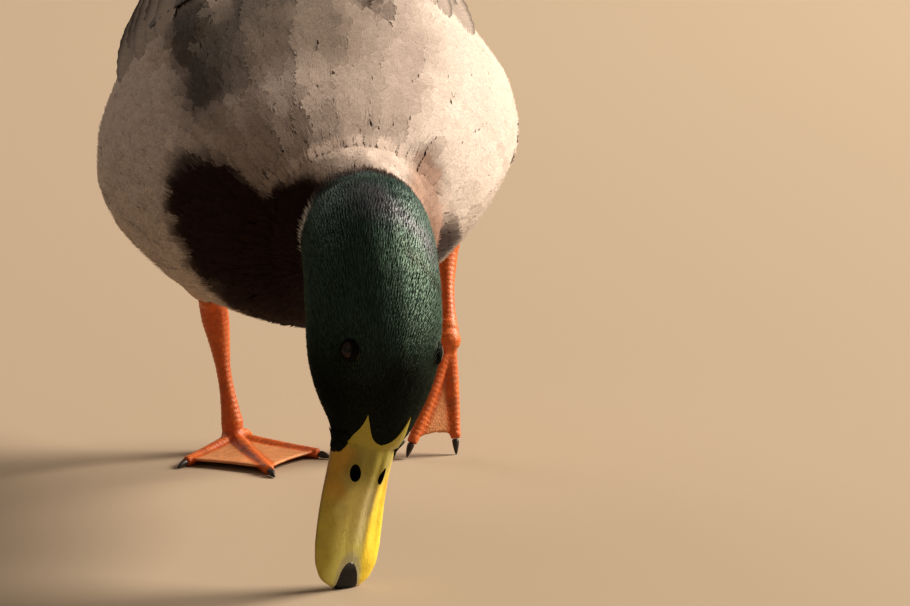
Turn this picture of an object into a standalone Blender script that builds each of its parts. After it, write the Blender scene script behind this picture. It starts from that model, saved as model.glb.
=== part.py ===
"""A life-size mallard drake with its bill tip on the floor, in metres, facing -Y with +Z up."""

import math

import bmesh
import bpy
import numpy as np
from mathutils import Vector

NAME = "mallard_drake"
MM = 0.001
GAP = 0.3

# All sizes below are in millimetres. The tip of the bill is drawn at zero; SHIFT then moves
# the whole bird so that the middle of its footprint is at x = y = 0.
SHIFT = (2.2, -193.0, 0.0)

# Trunk: its axis runs from the front of the breast back and up to the root of the tail.
BREAST_FRONT = (-2.2, 42.0, 103.0)
TRUNK_PITCH = 17.0
TRUNK_ROLL = 7.5
# The back's curve is nearly an ellipse's; the belly's draws in to a blunt keel.
TRUNK_SQUARE = (1.9, 1.72)
# place along the axis, half width, rise of the back, drop of the belly
TRUNK = (
    (0.0, 6.0, 5.0, 4.5),
    (3.0, 21.0, 18.0, 15.0),
    (9.0, 35.0, 31.0, 25.0),
    (24.0, 52.0, 45.0, 34.0),
    (50.0, 68.5, 54.0, 42.5),
    (85.0, 80.0, 57.0, 50.0),
    (125.0, 81.5, 57.5, 55.0),
    (165.0, 71.5, 55.5, 56.5),
    (200.0, 60.0, 51.0, 52.0),
    (235.0, 48.0, 44.0, 42.0),
    (265.0, 34.0, 34.0, 31.0),
    (290.0, 22.0, 23.0, 21.0),
    (308.0, 14.0, 14.0, 13.0),
    (320.0, 8.0, 6.5, 6.5),
)
BREAST_RINGS = (0.0, 1.5, 4.0, 9.0, 16.0, 24.0, 36.0, 50.0, 62.0)
BACK_RINGS = (62.3, 80.0, 100.0, 120.0, 140.0, 160.0, 180.0, 200.0, 218.0)
RUMP_RINGS = (218.3, 235.0, 250.0, 265.0, 279.0, 293.0, 308.0, 320.0)
TRUNK_SIDES = 28

# Head and neck: place, middle (x, y, z), half width, rise to the crown, drop to the throat,
# and the way the crown faces (x, y, z).
NECK = (
    (0.0, 7.4, 2.5, 51.5, 11.9, 11.0, 9.5, 0.375, -0.927, 0.0),
    (8.0, 9.0, 3.3, 59.0, 16.0, 15.5, 12.5, 0.375, -0.927, 0.0),
    (18.0, 10.0, 5.0, 69.0, 20.8, 20.5, 17.0, 0.375, -0.927, 0.0),
    (30.0, 10.6, 7.5, 81.0, 23.8, 25.5, 20.5, 0.37, -0.925, 0.05),
    (44.0, 11.1, 11.5, 95.0, 24.3, 27.0, 22.5, 0.34, -0.92, 0.15),
    (60.0, 11.0, 20.0, 109.0, 24.4, 27.0, 22.5, 0.26, -0.80, 0.50),
    (76.0, 10.4, 33.0, 117.5, 24.0, 26.0, 22.5, 0.15, -0.45, 0.85),
    (92.0, 9.2, 49.0, 115.5, 24.0, 24.0, 24.0, 0.05, -0.10, 1.0),
    (112.0, 6.5, 69.0, 112.0, 28.0, 26.0, 27.0, 0.0, 0.05, 1.0),
    (136.0, 2.0, 92.0, 108.0, 32.0, 28.0, 28.0, 0.0, 0.10, 1.0),
)
NECK_SIDES = 20
HEAD_END = 58.0
COLLAR = (86.0, 112.0)

# Eyes: place along the neck table, height above its middle line, radius, how far they stand out.
EYE_PLACE = 31.5
EYE_HEIGHT = 15.4
EYE_RADIUS = 4.8
EYE_PROUD = 1.2

# Bill: as the neck table, from the tip up; the seam lies at SEAM of the drop.
BILL = (
    (0.0, -0.5, -0.3, 0.1, 4.2, 1.5, 1.4, 0.375, -0.927, 0.0),
    (2.0, -0.3, -0.2, 2.3, 7.8, 2.5, 2.4, 0.375, -0.927, 0.0),
    (6.0, 0.1, 0.0, 7.0, 10.8, 3.3, 3.2, 0.375, -0.927, 0.0),
    (12.0, 0.7, 0.3, 13.0, 12.0, 4.1, 3.9, 0.375, -0.927, 0.0),
    (20.0, 1.6, 0.7, 21.0, 12.2, 5.0, 4.6, 0.375, -0.927, 0.0),
    (30.0, 3.0, 1.2, 31.0, 11.9, 6.6, 5.8, 0.375, -0.927, 0.0),
    (40.0, 4.8, 1.8, 40.5, 11.5, 8.8, 7.3, 0.375, -0.927, 0.0),
    (51.1, 7.1, 2.9, 51.1, 11.6, 10.8, 9.0, 0.375, -0.927, 0.0),
)
BILL_RINGS = (0.0, 1.0, 2.0, 4.0, 7.0, 11.0, 16.0, 23.0, 31.0, 38.0, 45.0, 51.1)
BILL_SIDES = 20
SEAM = 0.35
NAIL_RADII = (4.3, 6.0, 8.5)
NOSTRIL_PLACE = 38.5
NOSTRIL_HEIGHT = 5.2
NOSTRIL_RADII = (30.0, 1.3, 2.7)

# Left wing: place along the trunk axis, x, height above the axis, half breadth, half thickness,
# and the way its outer face looks (x, height). The right wing mirrors it.
WING = (
    (74.0, 44.0, 38.0, 3.0, 1.5, 0.56, 0.83),
    (84.0, 45.0, 40.5, 12.0, 3.2, 0.56, 0.83),
    (100.0, 46.0, 43.0, 18.0, 4.6, 0.56, 0.83),
    (132.0, 44.0, 44.5, 20.0, 5.0, 0.55, 0.84),
    (168.0, 38.5, 44.5, 21.0, 5.0, 0.55, 0.84),
    (204.0, 33.5, 42.0, 18.5, 5.0, 0.56, 0.83),
    (236.0, 29.5, 38.0, 14.5, 4.2, 0.56, 0.83),
    (262.0, 24.5, 33.0, 8.0, 3.0, 0.54, 0.84),
    (272.0, 22.5, 31.0, 3.0, 1.6, 0.54, 0.84),
)
TERTIALS = (
    (172.0, 30.0, 53.0, 4.0, 1.5, 0.34, 0.94),
    (186.0, 29.5, 53.5, 12.0, 3.5, 0.34, 0.94),
    (222.0, 25.5, 49.5, 14.0, 4.0, 0.36, 0.93),
    (254.0, 20.5, 43.0, 11.0, 3.2, 0.38, 0.92),
    (280.0, 16.5, 36.0, 6.0, 2.0, 0.40, 0.91),
    (294.0, 14.5, 31.5, 2.0, 0.9, 0.40, 0.91),
)
PRIMARIES = (
    (236.0, 37.0, 27.5, 5.0, 2.0, 0.60, 0.80),
    (250.0, 32.5, 27.5, 9.0, 2.6, 0.55, 0.83),
    (272.0, 26.0, 26.0, 9.0, 2.6, 0.45, 0.89),
    (296.0, 20.5, 23.5, 7.5, 2.2, 0.38, 0.92),
    (320.0, 16.0, 20.5, 5.0, 1.6, 0.32, 0.95),
    (340.0, 13.5, 18.0, 1.8, 0.8, 0.30, 0.95),
)

# Tail: place along the trunk axis, height above it, half width, half thickness.
TAIL = (
    (286.0, 3.5, 17.0, 4.6),
    (300.0, 2.5, 22.0, 4.0),
    (320.0, 0.5, 27.0, 2.8),
    (345.0, -3.0, 30.0, 1.8),
    (362.0, -5.5, 25.0, 1.2),
    (371.0, -7.0, 14.0, 0.8),
    (375.0, -7.6, 4.0, 0.6),
)
CURL_ROOT = (270.0, 31.0)
CURL_BASE = (304.0, 27.5)
CURL_RADIUS = 10.5
CURL_TURN = 250.0
CURL_X = 4.6
CURL_HALF = (3.2, 0.7)

# Legs: place, middle (x, y, z), half width across, reach forward, reach back.
THIGH_RIGHT = (
    (0.0, -46.0, 170.0, 118.0, 23.0, 27.0, 27.0),
    (28.0, -46.0, 187.0, 98.0, 19.5, 20.0, 20.0),
    (50.0, -43.5, 202.0, 80.0, 14.0, 14.0, 13.0),
    (66.0, -38.1, 211.5, 66.0, 7.0, 8.0, 8.0),
)
SHANK_RIGHT = (
    (0.0, -38.0, 211.8, 65.4, 5.4, 5.8, 5.8),
    (10.0, -36.6, 215.5, 54.0, 5.7, 5.8, 6.6),
    (18.0, -35.2, 214.5, 45.5, 4.6, 4.6, 5.2),
    (30.0, -33.6, 211.0, 33.0, 2.9, 3.6, 4.2),
    (42.0, -31.8, 207.5, 21.0, 3.2, 3.6, 4.2),
    (52.0, -30.4, 205.2, 11.0, 4.6, 4.4, 4.4),
)
THIGH_LEFT = (
    (0.0, 40.0, 178.0, 132.0, 22.0, 26.0, 26.0),
    (24.0, 47.0, 197.0, 114.0, 17.0, 19.0, 19.0),
    (42.0, 53.5, 212.0, 100.0, 11.0, 12.5, 12.5),
    (52.0, 57.0, 220.0, 92.0, 7.0, 8.0, 8.0),
)
SHANK_LEFT = (
    (0.0, 57.2, 220.4, 91.5, 5.4, 5.8, 5.8),
    (9.0, 58.6, 224.0, 83.0, 5.6, 5.8, 6.6),
    (18.0, 58.6, 221.0, 75.0, 4.4, 4.6, 5.2),
    (30.0, 58.0, 213.5, 65.0, 2.9, 3.6, 4.2),
    (42.0, 57.5, 206.5, 55.0, 3.2, 3.6, 4.2),
    (52.0, 57.2, 201.5, 47.0, 4.6, 4.4, 4.4),
)
ANKLE_RADIUS = 5.3
# Feet: middle of the ankle, then each toe from it: knuckle and end of the flesh.
FEET = {
    "right": (
        (-29.8, 204.5, 5.1),
        {
            "outer": ((-40.5, 192.5, 2.7), (-50.0, 180.5, 1.9)),
            "middle": ((-23.5, 183.0, 3.0), (-17.6, 162.5, 1.9)),
            "inner": ((-12.0, 197.0, 2.7), (3.4, 188.5, 1.9)),
            "hind": ((-25.5, 211.5, 6.0), (-23.0, 217.5, 3.2)),
        },
    ),
    "left": (
        (57.0, 200.5, 45.0),
        {
            "outer": ((58.5, 197.0, 25.0), (59.0, 190.5, 6.5)),
            "middle": ((50.0, 194.0, 25.0), (40.8, 185.0, 6.5)),
            "inner": ((47.5, 201.0, 31.0), (37.5, 200.5, 17.0)),
            "hind": ((55.5, 207.5, 42.5), (53.0, 211.5, 35.5)),
        },
    ),
}
TOE_RADIUS = (3.3, 2.7, 2.1)
HIND_RADIUS = (2.2, 1.8, 1.5)
CLAW_LENGTH = 5.8
HIND_CLAW_LENGTH = 3.8
WEB_HALF_THICKNESS = 0.6
WEB_HOLLOW = 0.05

MATERIALS = {
    "bottle_green_feather": ((0.010, 0.060, 0.030), 0.40),
    "white_feather": ((0.80, 0.77, 0.72), 0.80),
    "chestnut_feather": ((0.060, 0.025, 0.015), 0.75),
    "grey_feather": ((0.42, 0.38, 0.35), 0.80),
    "brown_feather": ((0.16, 0.12, 0.09), 0.80),
    "black_feather": ((0.012, 0.014, 0.014), 0.55),
    "wet_dark_brown": ((0.020, 0.008, 0.004), 0.05),
    "olive_yellow_horn": ((0.42, 0.36, 0.04), 0.35),
    "black_horn": ((0.015, 0.015, 0.015), 0.40),
    "orange_skin": ((0.75, 0.20, 0.04), 0.50),
}
FEATHER_OF = {
    "head": "bottle_green_feather",
    "neck_upper": "bottle_green_feather",
    "collar": "white_feather",
    "breast": "chestnut_feather",
    "back_and_belly": "grey_feather",
    "rump": "black_feather",
}


def collection(name):
    """A new collection of that name in the scene."""
    made = bpy.data.collections.new(name)
    bpy.context.scene.collection.children.link(made)
    return made


def material(name):
    """The Principled material of that name, made when first asked for."""
    made = bpy.data.materials.get(name)
    if made is None:
        colour, roughness = MATERIALS[name]
        made = bpy.data.materials.new(name)
        made.use_nodes = True
        shader = made.node_tree.nodes["Principled BSDF"]
        shader.inputs["Base Color"].default_value = (*colour, 1.0)
        shader.inputs["Roughness"].default_value = roughness
    return made


def to_object(name, mesh, made_of=None):
    """Keep a bmesh as an object: a part when it has a material, otherwise a cutter."""
    bmesh.ops.triangulate(mesh, faces=mesh.faces)
    bmesh.ops.recalc_face_normals(mesh, faces=mesh.faces)
    data = bpy.data.meshes.new(name)
    mesh.to_mesh(data)
    mesh.free()
    made = bpy.data.objects.new(name, data)
    if made_of is None:
        cutters.objects.link(made)
        made.hide_render = True
        made.display_type = "WIRE"
    else:
        parts.objects.link(made)
        data.materials.append(material(made_of))
    return made


def unit(vector):
    """The vector at length one."""
    return vector / np.linalg.norm(vector)


def read(table, place):
    """The smooth row of a table of sections at one place along it."""
    places = table[:, 0]
    i = int(np.clip(np.searchsorted(places, place) - 1, 0, len(places) - 2))
    step = places[i + 1] - places[i]
    slopes = np.gradient(table, places, axis=0) * step
    f = (place - places[i]) / step
    near = table[i] * (1 + 2 * f) + slopes[i] * f
    far = table[i + 1] * (3 - 2 * f) - slopes[i + 1] * (1 - f)
    return near * (1 - f) ** 2 + far * f**2


def frame_at(table, place):
    """Middle, left, up and (half width, rise, drop) of the section at one place."""
    row = read(table, place)
    ahead = read(table, min(place + 0.5, table[-1, 0]))[1:4]
    behind = read(table, max(place - 0.5, table[0, 0]))[1:4]
    along = unit(ahead - behind)
    guide = row[7:10]
    up = unit(guide - along * guide.dot(along))
    return row[1:4], np.cross(up, -along), up, row[4:7]


def section(table, place, count, grow, seam, square):
    """Points round one section; seam keeps the part above (+1) or below (-1) the bill's seam."""
    middle, left, up, (half, rise, drop) = frame_at(table, place)
    points = []
    for angle in np.arange(count) * math.tau / count:
        tall, power = (rise, square[0]) if angle < math.pi else (drop, square[1])
        across, height = math.cos(angle), math.sin(angle)
        shape = (abs(across) ** power + abs(height) ** power) ** (-1 / power)
        across *= (half + grow) * shape
        height *= (tall + grow) * shape
        if seam > 0:
            height = max(height, -SEAM * drop)
        if seam < 0:
            flat = -SEAM * drop - GAP
            height = flat + (drop + flat) * min(math.sin(angle), 0.0)
        points.append(middle + left * across + up * height)
    return points


def loft(name, table, places, count, made_of=None, grow=0.0, seam=0, square=(2.0, 2.0)):
    """A closed solid through the sections of a table at the given places."""
    mesh = bmesh.new()
    loops = []
    for place in places:
        points = section(table, place, count, grow, seam, square)
        loops.append([mesh.verts.new(Vector(point) * MM) for point in points])
    for one, two in zip(loops, loops[1:]):
        for i in range(count):
            j = (i + 1) % count
            mesh.faces.new((one[i], one[j], two[j], two[i]))
    mesh.faces.new(loops[0])
    mesh.faces.new(loops[-1])
    return to_object(name, mesh, made_of)


def ellipsoid(name, middle, axes, radii, made_of=None, segments=12, rings=8):
    """A ball stretched to three radii along three directions."""
    mesh = bmesh.new()
    bmesh.ops.create_uvsphere(mesh, u_segments=segments, v_segments=rings, radius=1.0)
    for vert in mesh.verts:
        place = middle + sum(axis * radius * c for axis, radius, c in zip(axes, radii, vert.co))
        vert.co = Vector(place) * MM
    return to_object(name, mesh, made_of)


def boolean(target, tool, operation="DIFFERENCE"):
    """Cut the target with the tool, or join or cross them, for good."""
    modifier = target.modifiers.new("Boolean", "BOOLEAN")
    modifier.operation = operation
    modifier.solver = "EXACT"
    modifier.object = tool
    graph = bpy.context.evaluated_depsgraph_get()
    done = bpy.data.meshes.new_from_object(target.evaluated_get(graph))
    target.modifiers.clear()
    target.data = done


def spread(start, stop, count, ends=0.0):
    """Places from start to stop; ends above zero crowds them towards both ends."""
    even = np.linspace(0.0, 1.0, count)
    round_ = (1 - np.cos(even * math.pi)) / 2
    return start + (stop - start) * (even * (1 - ends) + round_ * ends)


# The trunk's axis, its left, and the way up from it.
PITCH = math.radians(TRUNK_PITCH)
ROLL = math.radians(TRUNK_ROLL)
AXIS = np.array((0.0, math.cos(PITCH), math.sin(PITCH)))
LEVEL = np.array((1.0, 0.0, 0.0))
ABOVE = np.cross(LEVEL, AXIS) * math.cos(ROLL) - LEVEL * math.sin(ROLL)
LEFT = np.cross(AXIS, ABOVE)
FRONT = np.array(BREAST_FRONT)


def on_trunk(place, x, height):
    """A point by its place along the trunk's axis and its distances left of and above it."""
    return FRONT + AXIS * place + LEFT * x + ABOVE * height


def trunk_table():
    """The trunk's sections as a table of places, middles, sizes and directions."""
    rows = [(u, *on_trunk(u, 0.0, 0.0), half, rise, drop, *ABOVE) for u, half, rise, drop in TRUNK]
    return np.array(rows)


def wing_table(rows, side):
    """Sections of one layer of a folded wing; side is +1 for the left and -1 for the right."""
    made = []
    for u, x, height, half, thick, out, up in rows:
        face = LEFT * side * out + ABOVE * up
        made.append((u, *on_trunk(u, side * x, height), half, thick, thick, *face))
    return np.array(made)


def tail_table():
    """Sections of the fan of the tail."""
    rows = [(u, *on_trunk(u, 0.0, h), half, thick, thick, *ABOVE) for u, h, half, thick in TAIL]
    return np.array(rows)


def curl_table(side):
    """Sections of one curled feather: straight from its root, then round the curl."""
    half, thick = CURL_HALF
    rows = []
    for f in np.linspace(0.0, 1.0, 4)[:-1]:
        u = CURL_ROOT[0] + f * (CURL_BASE[0] - CURL_ROOT[0])
        height = CURL_ROOT[1] + f * (CURL_BASE[1] - CURL_ROOT[1])
        rows.append((*on_trunk(u, side * CURL_X, height), half, thick, thick, *-ABOVE))
    for turn in np.radians(np.linspace(0.0, CURL_TURN, 12)):
        out = AXIS * math.sin(turn) - ABOVE * math.cos(turn)
        height = CURL_BASE[1] + CURL_RADIUS
        middle = on_trunk(CURL_BASE[0], side * CURL_X, height) + out * CURL_RADIUS
        taper = half * (1.0 - 0.55 * turn / math.radians(CURL_TURN))
        rows.append((*middle, taper, thick, thick, *out))
    return np.array([(float(i), *row) for i, row in enumerate(rows)])


def leg_table(rows):
    """Sections of a leg, whose front looks forward along -Y."""
    return np.array([(*row, 0.0, -1.0, 0.0) for row in rows])


def toe_table(points, radii):
    """Sections of a toe or claw through points, with a radius at each."""
    points = [np.array(point, float) for point in points]
    place = 0.0
    rows = []
    for i, (point, radius) in enumerate(zip(points, radii)):
        place += np.linalg.norm(point - points[i - 1]) if i else 0.0
        rows.append((place, *point, radius, radius, radius, 0.3, -0.2, 1.0))
    return np.array(rows)


def web(name, one, two):
    """The thin skin between two toes, hollowed at its free edge."""
    mesh = bmesh.new()
    grid = []
    for s in np.linspace(0.02, 0.97, 5):
        line = []
        for v in np.linspace(0.0, 1.0, 5):
            reach = s * (1.0 - WEB_HOLLOW * 4 * v * (1 - v))
            a = read(one, reach * one[-1, 0])[1:4]
            b = read(two, reach * two[-1, 0])[1:4]
            line.append(mesh.verts.new(Vector(a * (1 - v) + b * v) * MM))
        grid.append(line)
    for one_line, two_line in zip(grid, grid[1:]):
        for i in range(len(one_line) - 1):
            corners = (one_line[i], one_line[i + 1], two_line[i + 1], two_line[i])
            mesh.faces.new(corners)
    bmesh.ops.recalc_face_normals(mesh, faces=mesh.faces)
    bmesh.ops.solidify(mesh, geom=mesh.faces[:], thickness=2 * WEB_HALF_THICKNESS * MM)
    return to_object(name, mesh)


def leg(side, thigh_rows, shank_rows):
    """One leg: thigh, shank, foot with its webs, and four claws."""
    ankle, toes = FEET[side]
    ankle = np.array(ankle)
    world = np.eye(3)
    thigh = leg_table(thigh_rows)
    rings = spread(0.0, thigh[-1, 0], 8)
    made = loft(f"thigh_{side}", thigh, rings, 16, "grey_feather")
    boolean(made, grown_trunk)
    shank = leg_table(shank_rows)
    made = loft(f"shank_{side}", shank, spread(0.0, shank[-1, 0], 10), 12, "orange_skin")
    boolean(made, ellipsoid(f"cut_{side}", ankle, world, (ANKLE_RADIUS + GAP,) * 3))
    boolean(made, loft(f"thigh_bed_{side}", thigh, (*rings, rings[-1] + GAP), 16, grow=GAP))
    radii = (ANKLE_RADIUS,) * 3
    foot = ellipsoid(f"foot_{side}", ankle, world, radii, "orange_skin", 12, 7)
    tables = {}
    for toe, (knuckle, end) in toes.items():
        sizes = HIND_RADIUS if toe == "hind" else TOE_RADIUS
        table = toe_table((ankle, knuckle, end), sizes)
        tables[toe] = table
        boolean(foot, loft(f"{toe}_{side}", table, spread(0.0, table[-1, 0], 4), 8), "UNION")
        length = HIND_CLAW_LENGTH if toe == "hind" else CLAW_LENGTH
        tip = np.array(end)
        ahead = unit(tip - np.array(knuckle))
        bend = np.array((0.0, 0.0, -0.18 * length))
        start = tip + ahead * GAP
        points = (start, start + ahead * length * 0.5 + bend * 0.3, start + ahead * length * 0.93 + bend)
        claw = toe_table(points, (sizes[2] * 0.85, sizes[2] * 0.65, 0.35))
        made = loft(f"claw_{side}_{toe}", claw, spread(0.0, claw[-1, 0], 4), 6, "black_horn")
        boolean(made, floor)
    for one, two in (("outer", "middle"), ("middle", "inner")):
        boolean(foot, web(f"web_{side}_{one}", tables[one], tables[two]), "UNION")
    boolean(foot, floor)


def bill():
    """The two halves of the bill, its nail and the nostril that goes right through."""
    table = np.array(BILL)
    upper = loft("bill_upper", table, BILL_RINGS, BILL_SIDES, "olive_yellow_horn", seam=1)
    lower = loft("bill_lower", table, BILL_RINGS[2:], BILL_SIDES, "olive_yellow_horn", seam=-1)
    tip, left, up, _ = frame_at(table, 0.5)
    along = np.cross(left, up)
    axes = (left, up, along)
    ball = ellipsoid("nail_cut", tip, axes, tuple(r + GAP for r in NAIL_RADII))
    nail = loft("bill_nail", table, BILL_RINGS[:7], BILL_SIDES, "black_horn", seam=1)
    boolean(nail, ellipsoid("nail_ball", tip, axes, NAIL_RADII), "INTERSECT")
    boolean(upper, ball)
    middle, left, up, _ = frame_at(table, NOSTRIL_PLACE)
    hole = middle + up * NOSTRIL_HEIGHT
    axes = (left, up, np.cross(left, up))
    boolean(upper, ellipsoid("nostril", hole, axes, NOSTRIL_RADII, segments=12, rings=6))
    for made in (upper, lower, nail):
        boolean(made, floor)


def head_and_neck():
    """Head with its eye sockets, eyes, and the neck down into the breast."""
    table = np.array(NECK)
    pieces = (
        ("head", 0.0, HEAD_END, 10),
        ("neck_upper", HEAD_END + 3 * GAP, COLLAR[0], 6),
        ("collar", COLLAR[0] + 3 * GAP, COLLAR[1], 4),
    )
    for name, start, stop, rings in pieces:
        made = loft(name, table, spread(start, stop, rings), NECK_SIDES, FEATHER_OF[name])
        boolean(made, grown_trunk)
        if name == "head":
            middle, left, up, (half, rise, _) = frame_at(table, EYE_PLACE)
            reach = half * math.sqrt(1 - (EYE_HEIGHT / rise) ** 2) + EYE_PROUD - EYE_RADIUS
            for side, way in (("left", 1), ("right", -1)):
                at = middle + left * way * reach + up * EYE_HEIGHT
                radii = (EYE_RADIUS,) * 3
                ellipsoid(f"eye_{side}", at, np.eye(3), radii, "wet_dark_brown")
                hollow = (EYE_RADIUS + GAP,) * 3
                boolean(made, ellipsoid(f"socket_{side}", at, np.eye(3), hollow))


def trunk(grow=0.0):
    """The trunk in three lengths, or, grown by a little, the one cutter that clears it."""
    table = trunk_table()
    if grow:
        rings = (-grow, *BREAST_RINGS, *BACK_RINGS, *RUMP_RINGS, RUMP_RINGS[-1] + grow)
        return loft("trunk_bed", table, rings, TRUNK_SIDES, grow=grow, square=TRUNK_SQUARE)
    lengths = (("breast", BREAST_RINGS), ("back_and_belly", BACK_RINGS), ("rump", RUMP_RINGS))
    for name, rings in lengths:
        loft(name, table, rings, TRUNK_SIDES, FEATHER_OF[name], square=TRUNK_SQUARE)


def wings():
    """Each folded wing in three layers, every layer cut clear of the one it lies on."""
    for side, way in (("left", 1), ("right", -1)):
        beds = [grown_trunk]
        layers = (("wing", WING, 9), ("tertials", TERTIALS, 7), ("primaries", PRIMARIES, 7))
        for layer, rows, rings in layers:
            table = wing_table(rows, way)
            places = spread(table[0, 0], table[-1, 0], rings, 0.5)
            made_of = "grey_feather" if layer == "wing" else "brown_feather"
            made = loft(f"{layer}_{side}", table, places, 16, made_of)
            for bed in beds:
                boolean(made, bed)
            beds.append(loft(f"bed_{layer}_{side}", table, places, 16, grow=GAP))


def tail():
    """The fan of the tail and the two curled feathers over it."""
    table = tail_table()
    made = loft("tail", table, spread(table[0, 0], table[-1, 0], 9, 0.4), 14, "white_feather")
    boolean(made, grown_trunk)
    for side, way in (("left", 1), ("right", -1)):
        table = curl_table(way)
        places = np.linspace(0.0, table[-1, 0], 16)
        made = loft(f"tail_curl_{side}", table, places, 6, "black_feather")
        boolean(made, grown_trunk)


for old in list(bpy.data.objects):
    bpy.data.objects.remove(old)
parts = collection(NAME)
cutters = collection("cutters")
floor = ellipsoid("floor", np.zeros(3), np.eye(3), (1.0, 1.0, 1.0))
floor.data.clear_geometry()
slab = bmesh.new()
bmesh.ops.create_cube(slab, size=1.0)
for corner in slab.verts:
    corner.co.z = corner.co.z * 0.2 - 0.1
slab.to_mesh(floor.data)
slab.free()
trunk()
grown_trunk = trunk(grow=GAP)
head_and_neck()
bill()
wings()
tail()
leg("right", THIGH_RIGHT, SHANK_RIGHT)
leg("left", THIGH_LEFT, SHANK_LEFT)
for part in parts.objects:
    for vert in part.data.vertices:
        vert.co += Vector(SHIFT) * MM
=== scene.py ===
# %% [markdown]
# # A drake mallard, life size, leaning down with its bill on the ground
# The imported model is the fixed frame, at real size. This script dresses it: one skin takes the place
# of the flesh, feathers are laid over it in rows, and bill, eyes, legs and claws get finishes of
# their own. Each step has a short note first, and then the code that does it.

# %% Load the frame
import math

import bmesh
import bpy
import numpy as np
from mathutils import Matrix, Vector
from mathutils.bvhtree import BVHTree


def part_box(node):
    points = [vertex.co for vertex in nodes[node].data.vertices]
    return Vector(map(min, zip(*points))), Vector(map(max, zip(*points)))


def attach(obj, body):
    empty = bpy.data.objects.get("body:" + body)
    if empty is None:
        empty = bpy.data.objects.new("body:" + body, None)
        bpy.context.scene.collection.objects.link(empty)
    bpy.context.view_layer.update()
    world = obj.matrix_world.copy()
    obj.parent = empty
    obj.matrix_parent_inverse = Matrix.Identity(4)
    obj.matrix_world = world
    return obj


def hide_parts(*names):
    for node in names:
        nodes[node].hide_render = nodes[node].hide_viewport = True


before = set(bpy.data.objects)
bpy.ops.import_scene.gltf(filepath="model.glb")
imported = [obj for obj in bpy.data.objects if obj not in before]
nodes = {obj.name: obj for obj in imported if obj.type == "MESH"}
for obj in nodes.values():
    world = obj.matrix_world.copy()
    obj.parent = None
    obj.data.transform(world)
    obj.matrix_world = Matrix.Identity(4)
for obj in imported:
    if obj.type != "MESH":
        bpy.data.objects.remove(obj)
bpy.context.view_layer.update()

# %% [markdown]
# ## Measures shared with the solids
# The sections that the solids were lofted through are repeated here, because every feather row is
# placed by them. A row says how far along it lies, its middle, half width, rise and drop, and which
# way is up, in millimetres on the drawing board. They could be measured off the solids, but a table
# is exact.

# %% Drawing board and tables of sections
MM = 0.001
SIDES = {"left": 1, "right": -1}
BOARD = np.array([2.2, -193.0, 0.0])
CROWN_UP = (0.375, -0.927, 0.0)
NECK_LENGTH, BILL_BASE = 136, 51.1
NECK = np.array([
    (0, 7.4, 2.5, 51.5, 11.9, 11, 9.5, *CROWN_UP),
    (8, 9, 3.3, 59, 16, 15.5, 12.5, *CROWN_UP),
    (18, 10, 5, 69, 20.8, 20.5, 17, *CROWN_UP),
    (30, 10.6, 7.5, 81, 23.8, 25.5, 20.5, 0.37, -0.925, 0.05),
    (44, 11.1, 11.5, 95, 24.3, 27, 22.5, 0.34, -0.92, 0.15),
    (60, 11, 20, 109, 24.4, 27, 22.5, 0.26, -0.80, 0.50),
    (76, 10.4, 33, 117.5, 24, 26, 22.5, 0.15, -0.45, 0.85),
    (92, 9.2, 49, 115.5, 24, 24, 24, 0.05, -0.10, 1.0),
    (112, 6.5, 69, 112, 28, 26, 27, 0.0, 0.05, 1.0),
    (NECK_LENGTH, 2, 92, 108, 32, 28, 28, 0.0, 0.10, 1.0),
], float)
BILL = np.array([
    (0, -0.5, -0.3, 0.1, 4.2, 1.5, 1.4, *CROWN_UP),
    (2, -0.3, -0.2, 2.3, 7.8, 2.5, 2.4, *CROWN_UP),
    (6, 0.1, 0, 7, 10.8, 3.3, 3.2, *CROWN_UP),
    (12, 0.7, 0.3, 13, 12, 4.1, 3.9, *CROWN_UP),
    (20, 1.6, 0.7, 21, 12.2, 5, 4.6, *CROWN_UP),
    (30, 3, 1.2, 31, 11.9, 6.6, 5.8, *CROWN_UP),
    (40, 4.8, 1.8, 40.5, 11.5, 8.8, 7.3, *CROWN_UP),
    (BILL_BASE, 7.1, 2.9, 51.1, 11.6, 10.8, 9, *CROWN_UP),
], float)
print("sections:", len(NECK), "down the neck,", len(BILL), "along the bill")

# %% [markdown]
# ## Reading a table between its rows
# Straight lines between the rows would show as bends in the horn, so read goes through them on a
# smooth cubic, as the solids do. frame_at turns the result into a middle, a left, an up and three
# sizes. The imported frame's eye proves that the two agree.

# %% Smooth sections, proved on an eye
EYE_PLACE, EYE_HEIGHT, EYE_RADIUS, EYE_PROUD = 31.5, 15.4, 4.8, 1.2


def on_board(points):
    """Metres in the frame from millimetres on the drawing board."""
    return (np.asarray(points, float) + BOARD) * MM


def unit(vectors):
    """Vectors, along the last axis, made one long."""
    vectors = np.asarray(vectors, float)
    return vectors / np.maximum(np.linalg.norm(vectors, axis=-1, keepdims=True), 1e-12)


def read(table, place):
    """The smooth row of a table of sections at one place along it."""
    places = table[:, 0]
    i = int(np.clip(np.searchsorted(places, place) - 1, 0, len(places) - 2))
    step = places[i + 1] - places[i]
    slopes = np.gradient(table, places, axis=0) * step
    f = (place - places[i]) / step
    near = table[i] * (1 + 2 * f) + slopes[i] * f
    far = table[i + 1] * (3 - 2 * f) - slopes[i + 1] * (1 - f)
    return near * (1 - f) ** 2 + far * f**2


def frame_at(table, place):
    """Middle, left, up and (half width, rise, drop) of the section at one place, in board units."""
    row = read(table, place)
    ahead = read(table, min(place + 0.5, table[-1, 0]))[1:4]
    behind = read(table, max(place - 0.5, table[0, 0]))[1:4]
    along = unit(ahead - behind)
    guide = row[7:10]
    up = unit(guide - along * guide.dot(along))
    return row[1:4], np.cross(up, -along), up, row[4:7]


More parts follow.
